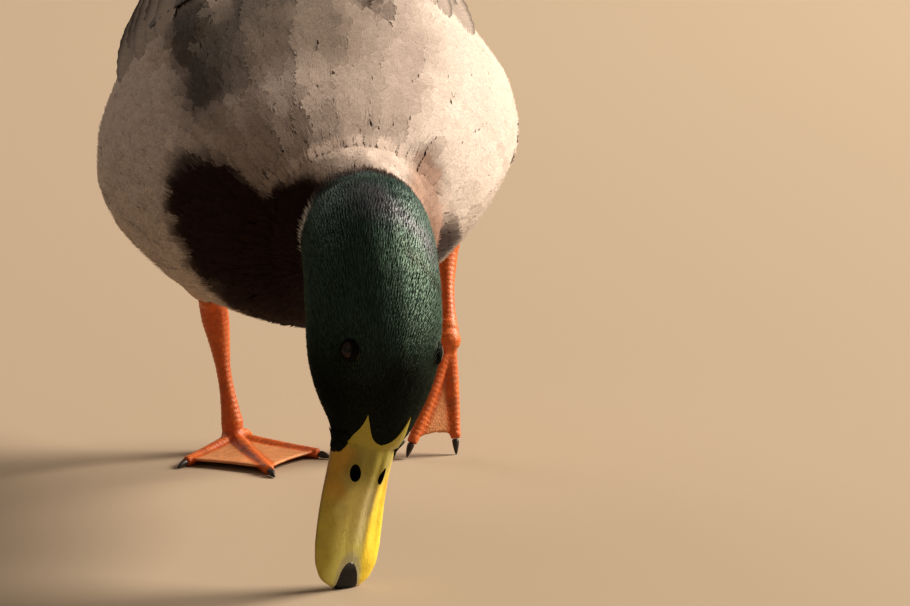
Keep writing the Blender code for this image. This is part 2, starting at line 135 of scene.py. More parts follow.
middle, left, up, (half, rise, _) = frame_at(NECK, EYE_PLACE)
eye_reach = half * math.sqrt(1 - (EYE_HEIGHT / rise) ** 2) + EYE_PROUD - EYE_RADIUS
planned_eye = on_board(middle + left * eye_reach + up * EYE_HEIGHT)
low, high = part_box("eye_left")
print("left eye is off the frame's by", np.round(planned_eye - np.array((low + high) / 2), 5))

# %% [markdown]
# ## Where a point lies on the trunk
# Markings and feather lengths depend on where a feather grows. The trunk is a long egg, so one
# straight axis is ruler enough: along it, across it, above it, and the angle round it.

# %% Ruler for the trunk
TRUNK_PITCH, TRUNK_ROLL = math.radians(17), math.radians(7.5)
TRUNK_FRONT = on_board((-2.2, 42, 103))
ALONG = np.array([0, math.cos(TRUNK_PITCH), math.sin(TRUNK_PITCH)])
ABOVE = (np.cross((1, 0, 0), ALONG) * math.cos(TRUNK_ROLL)
         - np.array([1, 0, 0]) * math.sin(TRUNK_ROLL))
LEFT = np.cross(ALONG, ABOVE)


def trunk_places(points):
    """Places along, to the left of and above the trunk's axis, in millimetres."""
    away = (points - TRUNK_FRONT) / MM
    return away @ ALONG, away @ LEFT, away @ ABOVE


def trunk_angle(x, h):
    """Degrees round the trunk: -90 under the keel, 0 at the side, 90 on the back."""
    return np.degrees(np.arctan2(h, abs(x)))


def on_trunk(u, x, h):
    """The point in the frame at a place along, left of and above the trunk's axis."""
    return TRUNK_FRONT + (ALONG * u + LEFT * x + ABOVE * h) * MM


print("trunk axis from", np.round(TRUNK_FRONT, 3), "along", np.round(ALONG, 3))

# %% [markdown]
# ## Where a point lies on the neck
# The neck bends, so its ruler is a line from the bill's base over the crown to the breast.
# neck_places finds the nearest step on it for a whole array of points at once, which is quick.

# %% Ruler for the neck
neck_steps = np.linspace(0, NECK_LENGTH, NECK_LENGTH + 1)
neck_frames = [frame_at(NECK, s) for s in neck_steps]
neck_middles = on_board([f[0] for f in neck_frames])
neck_lefts, neck_ups, neck_sizes = (np.array([f[k] for f in neck_frames]) for k in (1, 2, 3))
FAR_AWAY = 9.0


def neck_places(points):
    """Place down the neck, offsets to its left and crown side, and share of its radius."""
    best = np.zeros(len(points), int)
    gap = np.full(len(points), FAR_AWAY)
    for i, at in enumerate(neck_middles):
        d = ((points - at) ** 2).sum(1)
        nearer = d < gap
        best[nearer], gap[nearer] = i, d[nearer]
    away = (points - neck_middles[best]) / MM
    x = (away * neck_lefts[best]).sum(1)
    y = (away * neck_ups[best]).sum(1)
    half, rise, drop = neck_sizes[best].T
    tall = np.where(y > 0, rise, drop)
    return neck_steps[best], x, y, np.sqrt((x / half) ** 2 + (y / tall) ** 2)


def ramp(values, start, stop):
    """A smooth step from 0 at start to 1 at stop."""
    f = np.clip((values - start) / (stop - start), 0, 1)
    return f * f * (3 - 2 * f)


print("neck ruler:", len(neck_steps), "steps")

# %% [markdown]
# ## The floor
# A plain pale floor that reaches past the view. It is one flat grid, and a slow noise between two
# tones that are almost the same keeps it from looking like a cut-out.

# %% Helpers for materials, and the floor
scene = bpy.context.scene
FLOOR_COLOUR, FLOOR_SIZE = (0.405, 0.320, 0.235), 6.0


def rgb(red, green, blue):
    return (red, green, blue, 1.0)


def new_material(name):
    """A fresh node material, with its tree and its Principled shader."""
    made = bpy.data.materials.new(name)
    made.use_nodes = True
    tree = made.node_tree
    return made, tree, tree.nodes["Principled BSDF"]


def add_node(tree, kind, **settings):
    node = tree.nodes.new(kind)
    for key, value in settings.items():
        setattr(node, key, value)
    return node


def set_sockets(node, **values):
    """Set a node's own sockets; in their names, _ stands for a space."""
    for label, value in values.items():
        node.inputs[label.replace("_", " ")].default_value = value


def add_object(name, data):
    """An object with this data, in the scene."""
    made = bpy.data.objects.new(name, data)
    scene.collection.objects.link(made)
    return made


floor_mesh = bmesh.new()
bmesh.ops.create_grid(floor_mesh, x_segments=8, y_segments=8, size=FLOOR_SIZE)
floor_data = bpy.data.meshes.new("floor")
floor_mesh.to_mesh(floor_data)
floor = add_object("floor", floor_data)
floor_finish, tree, shader = new_material("pale_floor")
set_sockets(shader, Roughness=0.85)
mottle = add_node(tree, "ShaderNodeTexNoise")
set_sockets(mottle, Scale=3.0, Detail=6.0)
tint = add_node(tree, "ShaderNodeValToRGB")
for element, level in zip(tint.color_ramp.elements, (0.96, 1.04)):
    element.color = rgb(*(v * level for v in FLOOR_COLOUR))
tree.links.new(mottle.outputs["Fac"], tint.inputs["Fac"])
tree.links.new(tint.outputs["Color"], shader.inputs["Base Color"])
floor_data.materials.append(floor_finish)
print("floor:", 2 * FLOOR_SIZE, "m wide")

# %% [markdown]
# ## The light and the camera
# A broad warm lamp stands to the bird's left, a little behind and above, as low sun would. A faint
# warm one fills from the other side, a small one behind draws a thin rim, and the sky gives the rest.
# They are round, so that shadows fade evenly. The camera is a long lens at a sitting person's height.

# %% Sky, lamps and camera
SKY_COLOUR, SKY_STRENGTH = rgb(1.0, 0.85, 0.70), 0.175
BREAST_MIDDLE = (0.0, -0.02, 0.12)
CAMERA_PLACE, CAMERA_TILT, CAMERA_TURN = (-0.0848, -1.390, 0.344), 78.58, -6
LENS_LENGTH, SENSOR_WIDTH = 140.3, 36.0

world = bpy.data.worlds.new("studio")
world.use_nodes = True
set_sockets(world.node_tree.nodes["Background"], Color=SKY_COLOUR, Strength=SKY_STRENGTH)
scene.world = world


def lamp(name, place, size, power, colour):
    """A round area lamp at a place, turned to face the breast."""
    data = bpy.data.lights.new(name, "AREA")
    data.shape, data.size, data.energy, data.color = "DISK", size, power, colour
    made = add_object(name, data)
    made.location = place
    facing = Vector(BREAST_MIDDLE) - Vector(place)
    made.rotation_euler = facing.to_track_quat("-Z", "Y").to_euler()


lamp("key", (5.3, 1.3, 3.5), size=3.0, power=820, colour=(1.0, 0.90, 0.77))
lamp("fill", (-1.9, -1.3, 1.1), size=1.8, power=1.8, colour=(1.0, 0.80, 0.60))
lamp("rim", (-1.5, 2.6, 2.2), size=1.2, power=15, colour=(1.0, 0.93, 0.90))

camera_data = bpy.data.cameras.new("camera")
camera_data.lens, camera_data.sensor_width = LENS_LENGTH, SENSOR_WIDTH
camera = add_object("camera", camera_data)
camera.location = CAMERA_PLACE
camera.rotation_euler = (math.radians(CAMERA_TILT), 0, math.radians(CAMERA_TURN))
scene.camera = camera
scene.view_settings.view_transform = "Standard"
scene.view_settings.look = "Medium High Contrast"
print("camera", [round(v, 3) for v in camera.location], "lens", camera_data.lens)

# %% [markdown]
# ## Meshes as arrays
# A skin of tens of thousands of points is slow to edit one by one, so meshes are turned into arrays,
# worked on, and written back.

# %% Helpers between meshes and arrays
def pulled(items, label, width, kind=float):
    """One value of each item of a mesh, as rows of an array."""
    found = np.empty(len(items) * width, kind)
    items.foreach_get(label, found)
    return found.reshape(-1, width)


def arrays_of(mesh):
    """Points and triangles of a mesh."""
    mesh.calc_loop_triangles()
    return pulled(mesh.vertices, "co", 3), pulled(mesh.loop_triangles, "vertices", 3, int)


def edges_of(mesh):
    return pulled(mesh.edges, "vertices", 2, int)


def normals_of(mesh):
    return pulled(mesh.vertices, "normal", 3)


def set_points(mesh, points):
    mesh.vertices.foreach_set("co", np.asarray(points, np.float32).ravel())
    mesh.update()


def on_floor(points):
    """Points, with none below the floor."""
    points[:, 2] = np.maximum(points[:, 2], 0.0)
    return points


def new_piece(name, points, faces, smooth=True):
    """A mesh object from arrays or lists of points and faces, in the scene."""
    data = bpy.data.meshes.new(name)
    data.from_pydata([tuple(p) for p in points], [], [tuple(f) for f in faces])
    data.update()
    if smooth:
        data.shade_smooth()
    return add_object(name, data)


def apply_modifiers(piece):
    """Make what the piece's modifiers show its own mesh, and drop them."""
    shown = piece.evaluated_get(bpy.context.evaluated_depsgraph_get())
    solid = bpy.data.meshes.new_from_object(shown)
    piece.modifiers.clear()
    piece.data = solid


print("nodes to dress:", len(nodes))

# %% [markdown]
# ## One skin under all the feathers
# A live bird has no seams, but the frame is made of separate solids. Copies of them are swollen a
# little until they meet, joined, and remeshed into one closed surface. A Boolean would join them too,
# but a remesh also rounds the creases.

# %% Swell, join and remesh
FLESH = ("head", "neck_upper", "collar", "breast", "back_and_belly", "rump",
         "thigh_left", "thigh_right", "wing_left", "wing_right")
TRUNK_NODES = ("breast", "back_and_belly", "rump", "wing_left", "wing_right")
HEAD_SWELL, TRUNK_SWELL, SKIN_GRAIN = 0.0007, 0.0035, 0.0017


def swollen(mesh, by):
    """Points and triangles of a node, with its like corners joined, moved out by a distance."""
    work = bmesh.new()
    work.from_mesh(mesh)
    bmesh.ops.remove_doubles(work, verts=work.verts, dist=1e-6)
    bmesh.ops.triangulate(work, faces=work.faces)
    work.normal_update()
    points = np.array([v.co + v.normal * by for v in work.verts])
    faces = np.array([[v.index for v in f.verts] for f in work.faces])
    work.free()
    return points, faces


def remeshed(name, meshes, swells, grain):
    """One closed surface round several nodes, as an object with no modifiers left."""
    points, faces, count = [], [], 0
    for mesh, swell in zip(meshes, swells):
        p, f = swollen(mesh, swell)
        points.append(p)
        faces.append(f + count)
        count += len(p)
    made = new_piece(name, np.vstack(points), np.vstack(faces))
    voxels = made.modifiers.new("voxels", "REMESH")
    voxels.mode, voxels.voxel_size = "VOXEL", grain
    apply_modifiers(made)
    return made


under_skin = FLESH + ("eye_left", "eye_right")
skin = remeshed("skin", [nodes[n].data for n in under_skin],
                [TRUNK_SWELL if n in TRUNK_NODES else HEAD_SWELL for n in under_skin], SKIN_GRAIN)
print("skin:", len(skin.data.vertices), "points")

# %% [markdown]
# ## Smooth the skin
# Voxels leave steps, and plain smoothing would shrink the head. So each round takes a step in and a
# slightly longer one out, which wipes out small waves and keeps the large form.

# %% Smooth without shrinking
def mean_of_neighbours(values, pairs):
    """For each vertex, the mean of a value over its neighbours."""
    n = len(values)
    a, b = pairs.T
    count = np.maximum(np.bincount(a, minlength=n) + np.bincount(b, minlength=n), 1)
    if values.ndim == 1:
        return (np.bincount(a, values[b], n) + np.bincount(b, values[a], n)) / count
    return np.stack([mean_of_neighbours(values[:, k], pairs) for k in range(values.shape[1])], 1)


def blurred(values, pairs, rounds):
    """Values that have become the mean of their neighbours this many times over."""
    for _ in range(rounds):
        values = mean_of_neighbours(values, pairs)
    return values


def smoothed(points, pairs, rounds, keep=0.53):
    """Points smoothed without shrinking: one step in, and one slightly longer step out."""
    for _ in range(rounds):
        points = points + 0.5 * (mean_of_neighbours(points, pairs) - points)
        points = points - keep * (mean_of_neighbours(points, pairs) - points)
    return points


skin_pairs = edges_of(skin.data)
skin_points = smoothed(arrays_of(skin.data)[0], skin_pairs, 12)
on_trunk_share = ramp(trunk_places(skin_points)[0], 60, 90)[:, None]
calmer = smoothed(skin_points, skin_pairs, 60)
skin_points = skin_points * (1 - on_trunk_share) + calmer * on_trunk_share
set_points(skin.data, skin_points)
print("skin before drawing in:", np.round(np.ptp(skin_points, axis=0), 3), "m")

# %% [markdown]
# ## How deep the coat is
# Feathers stand on the skin, so it lies inside the bird's outline by the depth of the coat: under a
# millimetre on the face, most on the trunk, less again at the bare legs. The swelling is taken back
# too, and low on the left flank, which is flatter than the solids say, the skin is drawn in more.

# %% Draw the skin in by the coat's depth
FULL_DEPTH, FLANK_DRAWN_IN = 3.6, 3.4


def middle_of(name):
    """The middle of a node's box."""
    return np.array(sum(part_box(name), Vector()) / 2)


leg_tops = {side: middle_of(f"shank_{side}") for side in SIDES}
for side, top in leg_tops.items():
    top[2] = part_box(f"shank_{side}")[1][2]


def near_legs(values, points, gaps, limits):
    """Values with a limit that changes with the distance from where the legs leave the body."""
    for top in leg_tops.values():
        gap = np.linalg.norm(points - top, axis=1) / MM
        values = np.minimum(values, np.interp(gap, gaps, limits))
    return values


def coat_depth(points):
    """Depth of the coat over the skin, in metres."""
    u = trunk_places(points)[0]
    place, _, _, share = neck_places(points)
    down_neck = np.interp(place, (0, 4, 20, 58, 84, 96, 112),
                          (0.25, 0.5, 0.9, 1.2, 1.7, 2.4, FULL_DEPTH))
    depth = np.where((share < 1.25) & (place < 112), down_neck, FULL_DEPTH)
    at_rump = np.minimum(depth, np.interp(u, (255, 320), (FULL_DEPTH, 1.6)))
    depth = np.where(u > 255, at_rump, depth)
    return near_legs(depth, points, (6, 60), (0.9, FULL_DEPTH)) * MM


depth_at_skin = blurred(coat_depth(skin_points), skin_pairs, 6)
place, _, _, share = neck_places(skin_points)
u, x, h = trunk_places(skin_points)
swell = TRUNK_SWELL + (HEAD_SWELL - TRUNK_SWELL) * ((share < 1.3) * (1 - ramp(place, 90, 112)))
swell = near_legs(swell, skin_points, (14, 34), (HEAD_SWELL, TRUNK_SWELL))
swell = blurred(swell, skin_pairs, 20)
turn = trunk_angle(x, h)
slimmer = (ramp(x, 15, 40) * ramp(-turn, -8, 12) * (1 - ramp(-turn, 55, 80)) * ramp(u, 5, 30)
           * (1 - ramp(u, 110, 160))) * FLANK_DRAWN_IN * MM
slimmer = blurred(slimmer, skin_pairs, 10)
skin_points = skin_points - normals_of(skin.data) * (depth_at_skin + swell + slimmer)[:, None]
skin_points = smoothed(skin_points, skin_pairs, 10)
set_points(skin.data, skin_points)
skin_normals = normals_of(skin.data)
print("coat depth on the trunk", round(depth_at_skin.max() / MM, 2), "mm, on the face",
      round(depth_at_skin.min() / MM, 2), "mm")

# %% [markdown]
# ## Which way the coat lies
# Every feather needs a direction, and one for the whole bird would make whorls at the thighs. So a
# number is spread over the skin that is 0 round the bill and 1 at the tail, and settles elsewhere to
# the mean of its neighbours, as heat does. Feathers point up its slope.

# %% Settle the number
def settled(held, pairs, rounds):
    """Values that are held where they are given, and elsewhere are the mean of their neighbours."""
    fixed = ~np.isnan(held)
    values = np.where(fixed, held, 0.5)
    n = len(values)
    a, b = pairs.T
    degree = np.bincount(pairs.ravel(), minlength=n).astype(float)

    def pull(v):
        return degree * v - np.bincount(a, v[b], n) - np.bincount(b, v[a], n)

    error = np.where(fixed, 0, -pull(values))
    step = error / degree
    size = (error * step).sum()
    for _ in range(rounds):
        drawn = np.where(fixed, 0, pull(step))
        length = size / (step * drawn).sum()
        values = values + length * step
        error = error - length * drawn
        if np.abs(error).max() < 1e-6:
            break
        prepared = error / degree
        new_size = (error * prepared).sum()
        step = prepared + step * (new_size / size)
        size = new_size
    return values


u, x, h = trunk_places(skin_points)
place, _, _, share = neck_places(skin_points)
held = np.full(len(skin_points), np.nan)
held[(place < 2.0) & (share < 1.3)] = 0.0
held[u > 312] = 1.0
held[(u > 268) & (h > 26) & (abs(x) > 15)] = 0.97
for top in leg_tops.values():
    held[np.linalg.norm(skin_points - top, axis=1) < 0.010] = 0.80
flow_number = settled(held, skin_pairs, 1500)
print("settled between", round(flow_number.min(), 3), "and", round(flow_number.max(), 3))

# %% [markdown]
# ## From the number to a direction
# The slope at a point is the sum of the steps to its neighbours, each weighed by how much the number
# rises along it. It is laid flat and averaged, as feathers that touch lie alike.

# %% The lie at each point of the skin
def flat_on(vectors, normals):
    """Vectors laid flat on a surface with these normals, one long."""
    return unit(vectors - normals * (vectors * normals).sum(-1, keepdims=True))


a, b = skin_pairs.T
rise_along = (flow_number[b] - flow_number[a])[:, None]
step_along = skin_points[b] - skin_points[a]
pull_along = rise_along * step_along / (step_along**2).sum(1, keepdims=True)
skin_lie = np.stack([np.bincount(a, pull_along[:, k], len(skin_points))
                     + np.bincount(b, pull_along[:, k], len(skin_points)) for k in range(3)], 1)
skin_lie = flat_on(skin_lie, skin_normals)
for _ in range(10):
    skin_lie = flat_on(mean_of_neighbours(skin_lie, skin_pairs), skin_normals)
print("mean lie of the coat", np.round(skin_lie.mean(0), 3))

# %% [markdown]
# ## Soft noise for the markings
# Every border on a bird wavers by a feather or two. cloud gives soft lumps of any size from one grid
# of random numbers. A noise node could too, but feathers need it at their roots, before any material.

# %% Soft noise
NOISE_SIDE = 32
noise_grid = np.random.default_rng(7).uniform(-1, 1, (NOISE_SIDE,) * 3)


def cloud(points, size):
    """Soft noise between -1 and 1, with lumps of about this size in metres."""
    at = points / size
    cell = np.floor(at).astype(int)
    f = at - cell
    f = f * f * (3 - 2 * f)
    total = np.zeros(len(points))
    for i in (0, 1):
        for j in (0, 1):
            for k in (0, 1):
                weight = np.prod(np.where((i, j, k), f, 1 - f), axis=1)
                a, b, c = ((cell + (i, j, k)) % NOISE_SIDE).T
                total += weight * noise_grid[a, b, c]
    return total


def mixed(one, two, share):
    """One colour going over to another by a share at each point."""
    return np.asarray(one) + (np.asarray(two) - one) * share[:, None]


def toned(colour, levels):
    """A colour at a brightness of its own at each point."""
    return np.array(colour) * levels[:, None]


print("noise spans", round(np.ptp(cloud(skin_points, 0.02)), 2))

# %% [markdown]
# ## The markings of the trunk
# A drake in full colour has a grey-brown mantle, pale flanks, a black stern and a white tail. The
# markings are rules of place, written once for the skin and every feather over it, so no gap shows
# another colour. A picture wrapped round the bird would blur and stretch.

# %% Rules for the trunk
LILAC, MANTLE, MANTLE_DARK_AND_SHADE = (0.40, 0.325, 0.285), (0.215, 0.168, 0.138), (0.085, 0.065, 0.051)
FLANK, FLANK_LOW_SHADED, BELLY = (0.57, 0.485, 0.43), (0.43, 0.335, 0.27), (0.55, 0.48, 0.41)
STERN_BLACK, FLANK_END = (0.011, 0.013, 0.014), (0.80, 0.78, 0.75)
LOW_BACK = (0.035, 0.030, 0.027)


def trunk_marks(u, shaded_right_side, turn, lump, rough, fine):
    """Colour of flanks, belly, mantle and stern, and how strongly each point is finely barred."""
    # The lower flanks go over to a darker brown, as painted shade on the lower sides of the body.
    colour = mixed(FLANK, FLANK_LOW_SHADED, ramp(-turn + 8 * rough, 5, 40))
    bars = np.full(len(u), 0.55)
    lower = ramp(-turn + 8 * rough, 40, 66)
    colour = mixed(colour, BELLY, lower)
    bars = bars * (1 - 0.6 * lower)
    edge = 47 - 7 * ramp(u, 30, 70) + 5 * rough
    top = ramp(turn, edge - 6, edge + 8)
    mantle = mixed(LILAC, MANTLE, ramp(u + 8 * rough, 50, 84) * ramp(turn, 54, 76))
    # Dark clouds on the mantle: partly the mantle's own darker feathers, partly painted shade, as they
    # are far stronger on the bird's right, the side away from the key lamp.
    patch = ramp(u + 16 * lump + 6 * rough, 52, 72) * ramp(turn + 3 * rough, 43, 50)
    patch = patch * np.where(shaded_right_side, 1 - 0.75 * ramp(turn + 8 * lump, 58, 78), 0.0)
    mottle = ramp(0.6 * rough + 0.5 * fine + 0.4 * lump, -0.15, 0.35) * ramp(u, 80, 105)
    mottle = mottle * ramp(turn, 44, 52) * np.where(shaded_right_side, 0.75, 0.35)
    mantle = mixed(mantle, MANTLE_DARK_AND_SHADE, np.maximum(patch, mottle))
    colour = mixed(colour, mantle, top)
    bars = bars * (1 - 0.3 * top)
    scapular = ramp(u, 122, 150) * ramp(turn, 32, 44) * (1 - ramp(turn, 62, 74))
    colour = mixed(colour, toned(MANTLE, 1.25 + 0.35 * rough), scapular)
    low_back = ramp(u, 205, 235) * ramp(turn, 40, 60)
    colour = mixed(colour, LOW_BACK, low_back)
    flank_end = ramp(u, 226, 238) * (1 - ramp(u, 252, 260))
    flank_end = flank_end * (1 - ramp(turn, 30, 48)) * ramp(turn, -55, -30)
    colour = mixed(colour, FLANK_END, flank_end)
    stern = ramp(u + 3 * rough, 250, 258) * (1 - ramp(turn, 60, 66) * ramp(u, 290, 300))
    colour = mixed(colour, STERN_BLACK, stern)
    return colour, bars * (1 - stern) * (1 - flank_end) * (1 - low_back)


print("mantle", MANTLE, "flank", FLANK)

# %% [markdown]
# ## The markings of the breast, the neck and the head
# In front lie the chocolate breast with its scalloped edge, a narrow white ring and the bottle-green
# head, with its gloss as painted sheen on the nape. The breast's edge is given for each side as pairs
# of the angle round the trunk and the place along it.

# %% Rules for the breast, neck and head
FACE_BLACK, HEAD_GREEN = (0.006, 0.009, 0.004), (0.040, 0.077, 0.057)
NAPE_SHEEN_GREY, NAPE_SHEEN_BLUE = (0.085, 0.078, 0.100), (0.024, 0.048, 0.050)
RING_WHITE, CHOCOLATE = (0.80, 0.76, 0.72), (0.026, 0.0100, 0.0065)
LIT_ROSE_BROWN, NECK_BASE_LIT = (0.30, 0.19, 0.145), (0.60, 0.49, 0.43)
BREAST_EDGE = {
    "right": ((-90, 44), (-45, 34), (-15, 20), (-1.5, 21), (11, 28), (22, 37), (31, 45), (38, 44),
              (46, 37), (55, 22), (62, 13), (74, 9), (90, 6)),
    "left": ((-90, 44), (-45, 30), (-15, 13), (-6, 12.5), (3, 13.5), (21, 23), (28, 28), (36, 32),
             (45, 24), (55, 16), (70, 9), (90, 6)),
}


def breast_limit(x, turn, rough, fine):
    """Where along the trunk the brown of the breast ends, at each point."""
    limits = {side: np.interp(turn, *zip(*line)) for side, line in BREAST_EDGE.items()}
    leftness = ramp(x, -6, 6)
    return limits["right"] * (1 - leftness) + limits["left"] * leftness + 3.0 * rough + 2.5 * fine


def head_green(place, across, over, rough):
    """Colour of the head: nearly black at the face, green behind, with painted sheen on the nape and a
    painted shadow in a fold.
    """
    green = mixed(FACE_BLACK, HEAD_GREEN, ramp(place + 5 * rough, 18, 46))
    # The blue on the nape and the grey band across it are painted sheen: the gloss of the head,
    # painted into its colour.
    green = mixed(green, NAPE_SHEEN_BLUE, 0.6 * ramp(place + 6 * rough, 50, 66) * ramp(over, 2, 18))
    band = place + 5 * rough - np.interp(across, (-10, 3, 14), (70, 68, 57))
    sheen = np.exp(-(band / 5.0) ** 2) * ramp(over, 4, 16)
    sheen = sheen * ramp(across, -16, -6) * (1 - ramp(across, 15, 22))
    green = mixed(green, NAPE_SHEEN_GREY, 0.8 * sheen)
    # A narrow dark line on the crown, left of its middle, as painted shadow in a fold of the feathers.
    shaded_fold = np.exp(-((place - 58 + 0.5 * across) / 1.6) ** 2)
    shaded_fold = shaded_fold * ramp(across, 0, 6) * ramp(over, 2, 12)
    return mixed(green, FACE_BLACK, 0.7 * shaded_fold)


def plumage(points):
    """Colour at each point, and how strongly it is finely barred, as four columns."""
    u, x, h = trunk_places(points)
    place, across, over, share = neck_places(points)
    turn = trunk_angle(x, h + 2)
    lump, rough, fine = cloud(points, 0.020), cloud(points, 0.011), cloud(points, 0.004)
    colour, bars = trunk_marks(u, x < 0, turn, lump, rough, fine)
    limit = breast_limit(x, turn, rough, fine)
    blend = ramp(turn, 10, 40)
    chocolate = 1 - ramp(u, limit - 4 - 3 * blend, limit + 4 + 4 * blend)
    colour = mixed(colour, CHOCOLATE, chocolate)
    on_neck = (share < 1.45) & (place < 118)
    # Behind the head the neck base is its own lilac made paler, as painted light where the key lamp
    # catches the raised neck; on the bird's right, away from the lamp, it is held back and the
    # chocolate takes its place.
    behind = on_neck * ramp(over + 4 * rough - 15 * (1 - ramp(across, -20, -4)), 1, 9)
    lit_hindneck = behind * ramp(place, 81, 84) * (1 - ramp(place, 104, 116))
    colour = mixed(colour, toned(NECK_BASE_LIT, 0.92 + 0.22 * fine), lit_hindneck)
    below = on_neck * ramp(place, 79.5, 82) * (1 - behind) * (1 - ramp(place, 108, 120))
    colour = mixed(colour, CHOCOLATE, below)
    # The breast's chocolate turns rosy brown on the bird's left only: painted light, the brown as the
    # key lamp lights it.
    lit_rosy = (1 - ramp(u, limit - 2, limit + 2)) * ramp(x, 22, 34)
    lit_rosy = lit_rosy * ramp(turn, -24, -10) * (1 - ramp(turn, 36, 45))
    colour = mixed(colour, toned(LIT_ROSE_BROWN, 1 + 0.3 * fine), 0.9 * lit_rosy)
    shifted = place + 0.7 * rough + 0.5 * fine
    ring = on_neck * ramp(shifted, 76.2, 77.2) * (1 - ramp(shifted, 79.6, 80.8))
    colour = mixed(colour, RING_WHITE, ring * (1 - ramp(over + 3 * rough, 6, 15)))
    nape = ramp(over, 4, 14)
    head = on_neck * (1 - ramp(shifted, 75.6 + 2 * nape, 76.6 + 2.5 * nape))
    colour = mixed(colour, head_green(place, across, over, rough), head)
    bars = bars * (1 - chocolate) * (1 - head) * (1 - ring) * (1 - below) * (1 - 0.8 * lit_hindneck)
    return np.column_stack([np.clip(colour, 0, 1), np.clip(bars, 0, 1)])


print("plumage of the head", np.round(plumage(neck_middles[40:41])[0], 3))

# %% [markdown]
# ## Layers that a material can read
# A mesh can carry a value for each point under a name. plumage holds the colour, vane the place on a
# feather in millimetres, and habit the share along and across it with a number by chance.

# %% Layers on the skin
def add_layer(mesh, name, values, kind="FLOAT_COLOR", label="color"):
    """A colour, or another value, for each vertex, as a named layer."""
    layer = mesh.attributes.new(name, kind, "POINT")
    layer.data.foreach_set(label, np.asarray(values, np.float32).ravel())


def vector_layer(mesh, name, values):
    add_layer(mesh, name, values, "FLOAT_VECTOR", "vector")


add_layer(skin.data, "plumage", plumage(skin_points))
for layer_name in ("vane", "habit"):
    vector_layer(skin.data, layer_name, np.zeros((len(skin_points), 3)))
print("plumage painted on", len(skin_points), "points of skin")

# %% [markdown]
# ## Where the feathers grow
# Roots are thrown at random and kept only if no other is nearer than the spacing of the region,
# which gives the even but never regular spread of real follicles. Blender's particles could do it,
# but this keeps number and places in the script's hands.

# %% Throw the roots
THROWS_FOR_EACH = 5
skin_faces = arrays_of(skin.data)[1]
skin_tree = BVHTree.FromPolygons(skin_points.tolist(), skin_faces.tolist())
corner_a, corner_b, corner_c = (skin_points[skin_faces[:, k]] for k in range(3))
face_cross = np.cross(corner_b - corner_a, corner_c - corner_a)
face_area = np.linalg.norm(face_cross, axis=1) / 2
face_normal = unit(skin_normals[skin_faces].sum(1))
face_lie = flat_on(skin_lie[skin_faces].sum(1), face_normal)
face_middle = (corner_a + corner_b + corner_c) / 3
face_flow = flow_number[skin_faces].mean(1)


def thinned(spots, gaps, cell_size):
    """Which spots to keep, so that none is nearer to one kept before than its own gap allows."""
    cells = np.floor(spots / cell_size).astype(int).tolist()
    squares = (gaps**2).tolist()
    around = [(i, j, k) for i in (-1, 0, 1) for j in (-1, 0, 1) for k in (-1, 0, 1)]
    taken, kept = {}, []
    for n, ((cx, cy, cz), (px, py, pz)) in enumerate(zip(cells, spots.tolist())):
        clear = all((px - qx) ** 2 + (py - qy) ** 2 + (pz - qz) ** 2 >= squares[n]
                    for i, j, k in around
                    for qx, qy, qz in taken.get((cx + i, cy + j, cz + k), ()))
        if clear:
            taken.setdefault((cx, cy, cz), []).append((px, py, pz))
            kept.append(n)
    return kept


def throw(spacing, wanted, seed):
    """Roots on the skin and their faces, from bill to tail, at least the spacing in metres apart."""
    luck = np.random.default_rng(seed)
    spread = np.where(wanted, face_area / spacing**2, 0)
    count = int(spread.sum() * THROWS_FOR_EACH)
    picked = luck.choice(len(face_area), count, p=spread / spread.sum())
    one, two = luck.random((2, count))
    flip = one + two > 1
    one, two = np.where(flip, 1 - one, one), np.where(flip, 1 - two, two)
    spots = (corner_a[picked] + (corner_b - corner_a)[picked] * one[:, None]
             + (corner_c - corner_a)[picked] * two[:, None])
    kept = thinned(spots, spacing[picked], spacing[wanted].max())
    spots, faces = spots[kept], picked[kept]
    order = np.argsort(face_flow[faces])
    return spots[order], faces[order]


print("skin to cover:", round(face_area.sum() * 10000), "square centimetres")

# %% [markdown]
# ## Laying a feather on the skin
# lay walks from each root over the skin, turning with the lie of the coat at every step, and lifts
# the path from root to tip: those rooted further forward lie on top, like tiles.

# %% Walk over the skin
def lay(spots, faces, lengths, lifts, steps, yaw, follow=1.0, rise_power=0.6):
    """Points, normals and face numbers along each feather, walking over the skin."""
    n = len(spots)
    path = np.empty((n, steps + 1, 3))
    normal = np.empty((n, steps + 1, 3))
    under = np.empty((n, steps + 1), int)
    at, face = spots.copy(), faces.copy()
    way = face_lie[face]
    side = np.cross(face_normal[face], way)
    heading = way * np.cos(yaw)[:, None] + side * np.sin(yaw)[:, None]
    for k in range(steps + 1):
        path[:, k], normal[:, k], under[:, k] = at, face_normal[face], face
        if k == steps:
            break
        lie = face_lie[face] * follow + heading
        heading = flat_on(lie, face_normal[face])
        target = at + heading * (lengths / steps)[:, None]
        found = [skin_tree.find_nearest(p) for p in target.tolist()]
        at = np.array([f[0] for f in found])
        face = np.array([f[2] for f in found])
    for _ in range(2):
        normal[:, 1:-1] = unit(normal[:, :-2] + normal[:, 1:-1] * 2 + normal[:, 2:])
    rise = np.linspace(0, 1, steps + 1)
    low, high = lifts
    lift = low[:, None] + (high - low)[:, None] * rise**rise_power
    return path + normal * lift[:, :, None], normal, under


def along_path(values, s):
    """Values of each path at shares s of its length, the same shares for all feathers."""
    steps = values.shape[1] - 1
    f = np.clip(s, 0, 1) * steps
    i = np.minimum(f.astype(int), steps - 1)
    f = (f - i)[None, :, None]
    before = values[:, np.maximum(i - 1, 0)]
    one, two = values[:, i], values[:, i + 1]
    after = values[:, np.minimum(i + 2, steps)]
    return one + 0.5 * f * (two - before + f * (2 * before - 5 * one + 4 * two - after
                                                + f * (3 * (one - two) + after - before)))


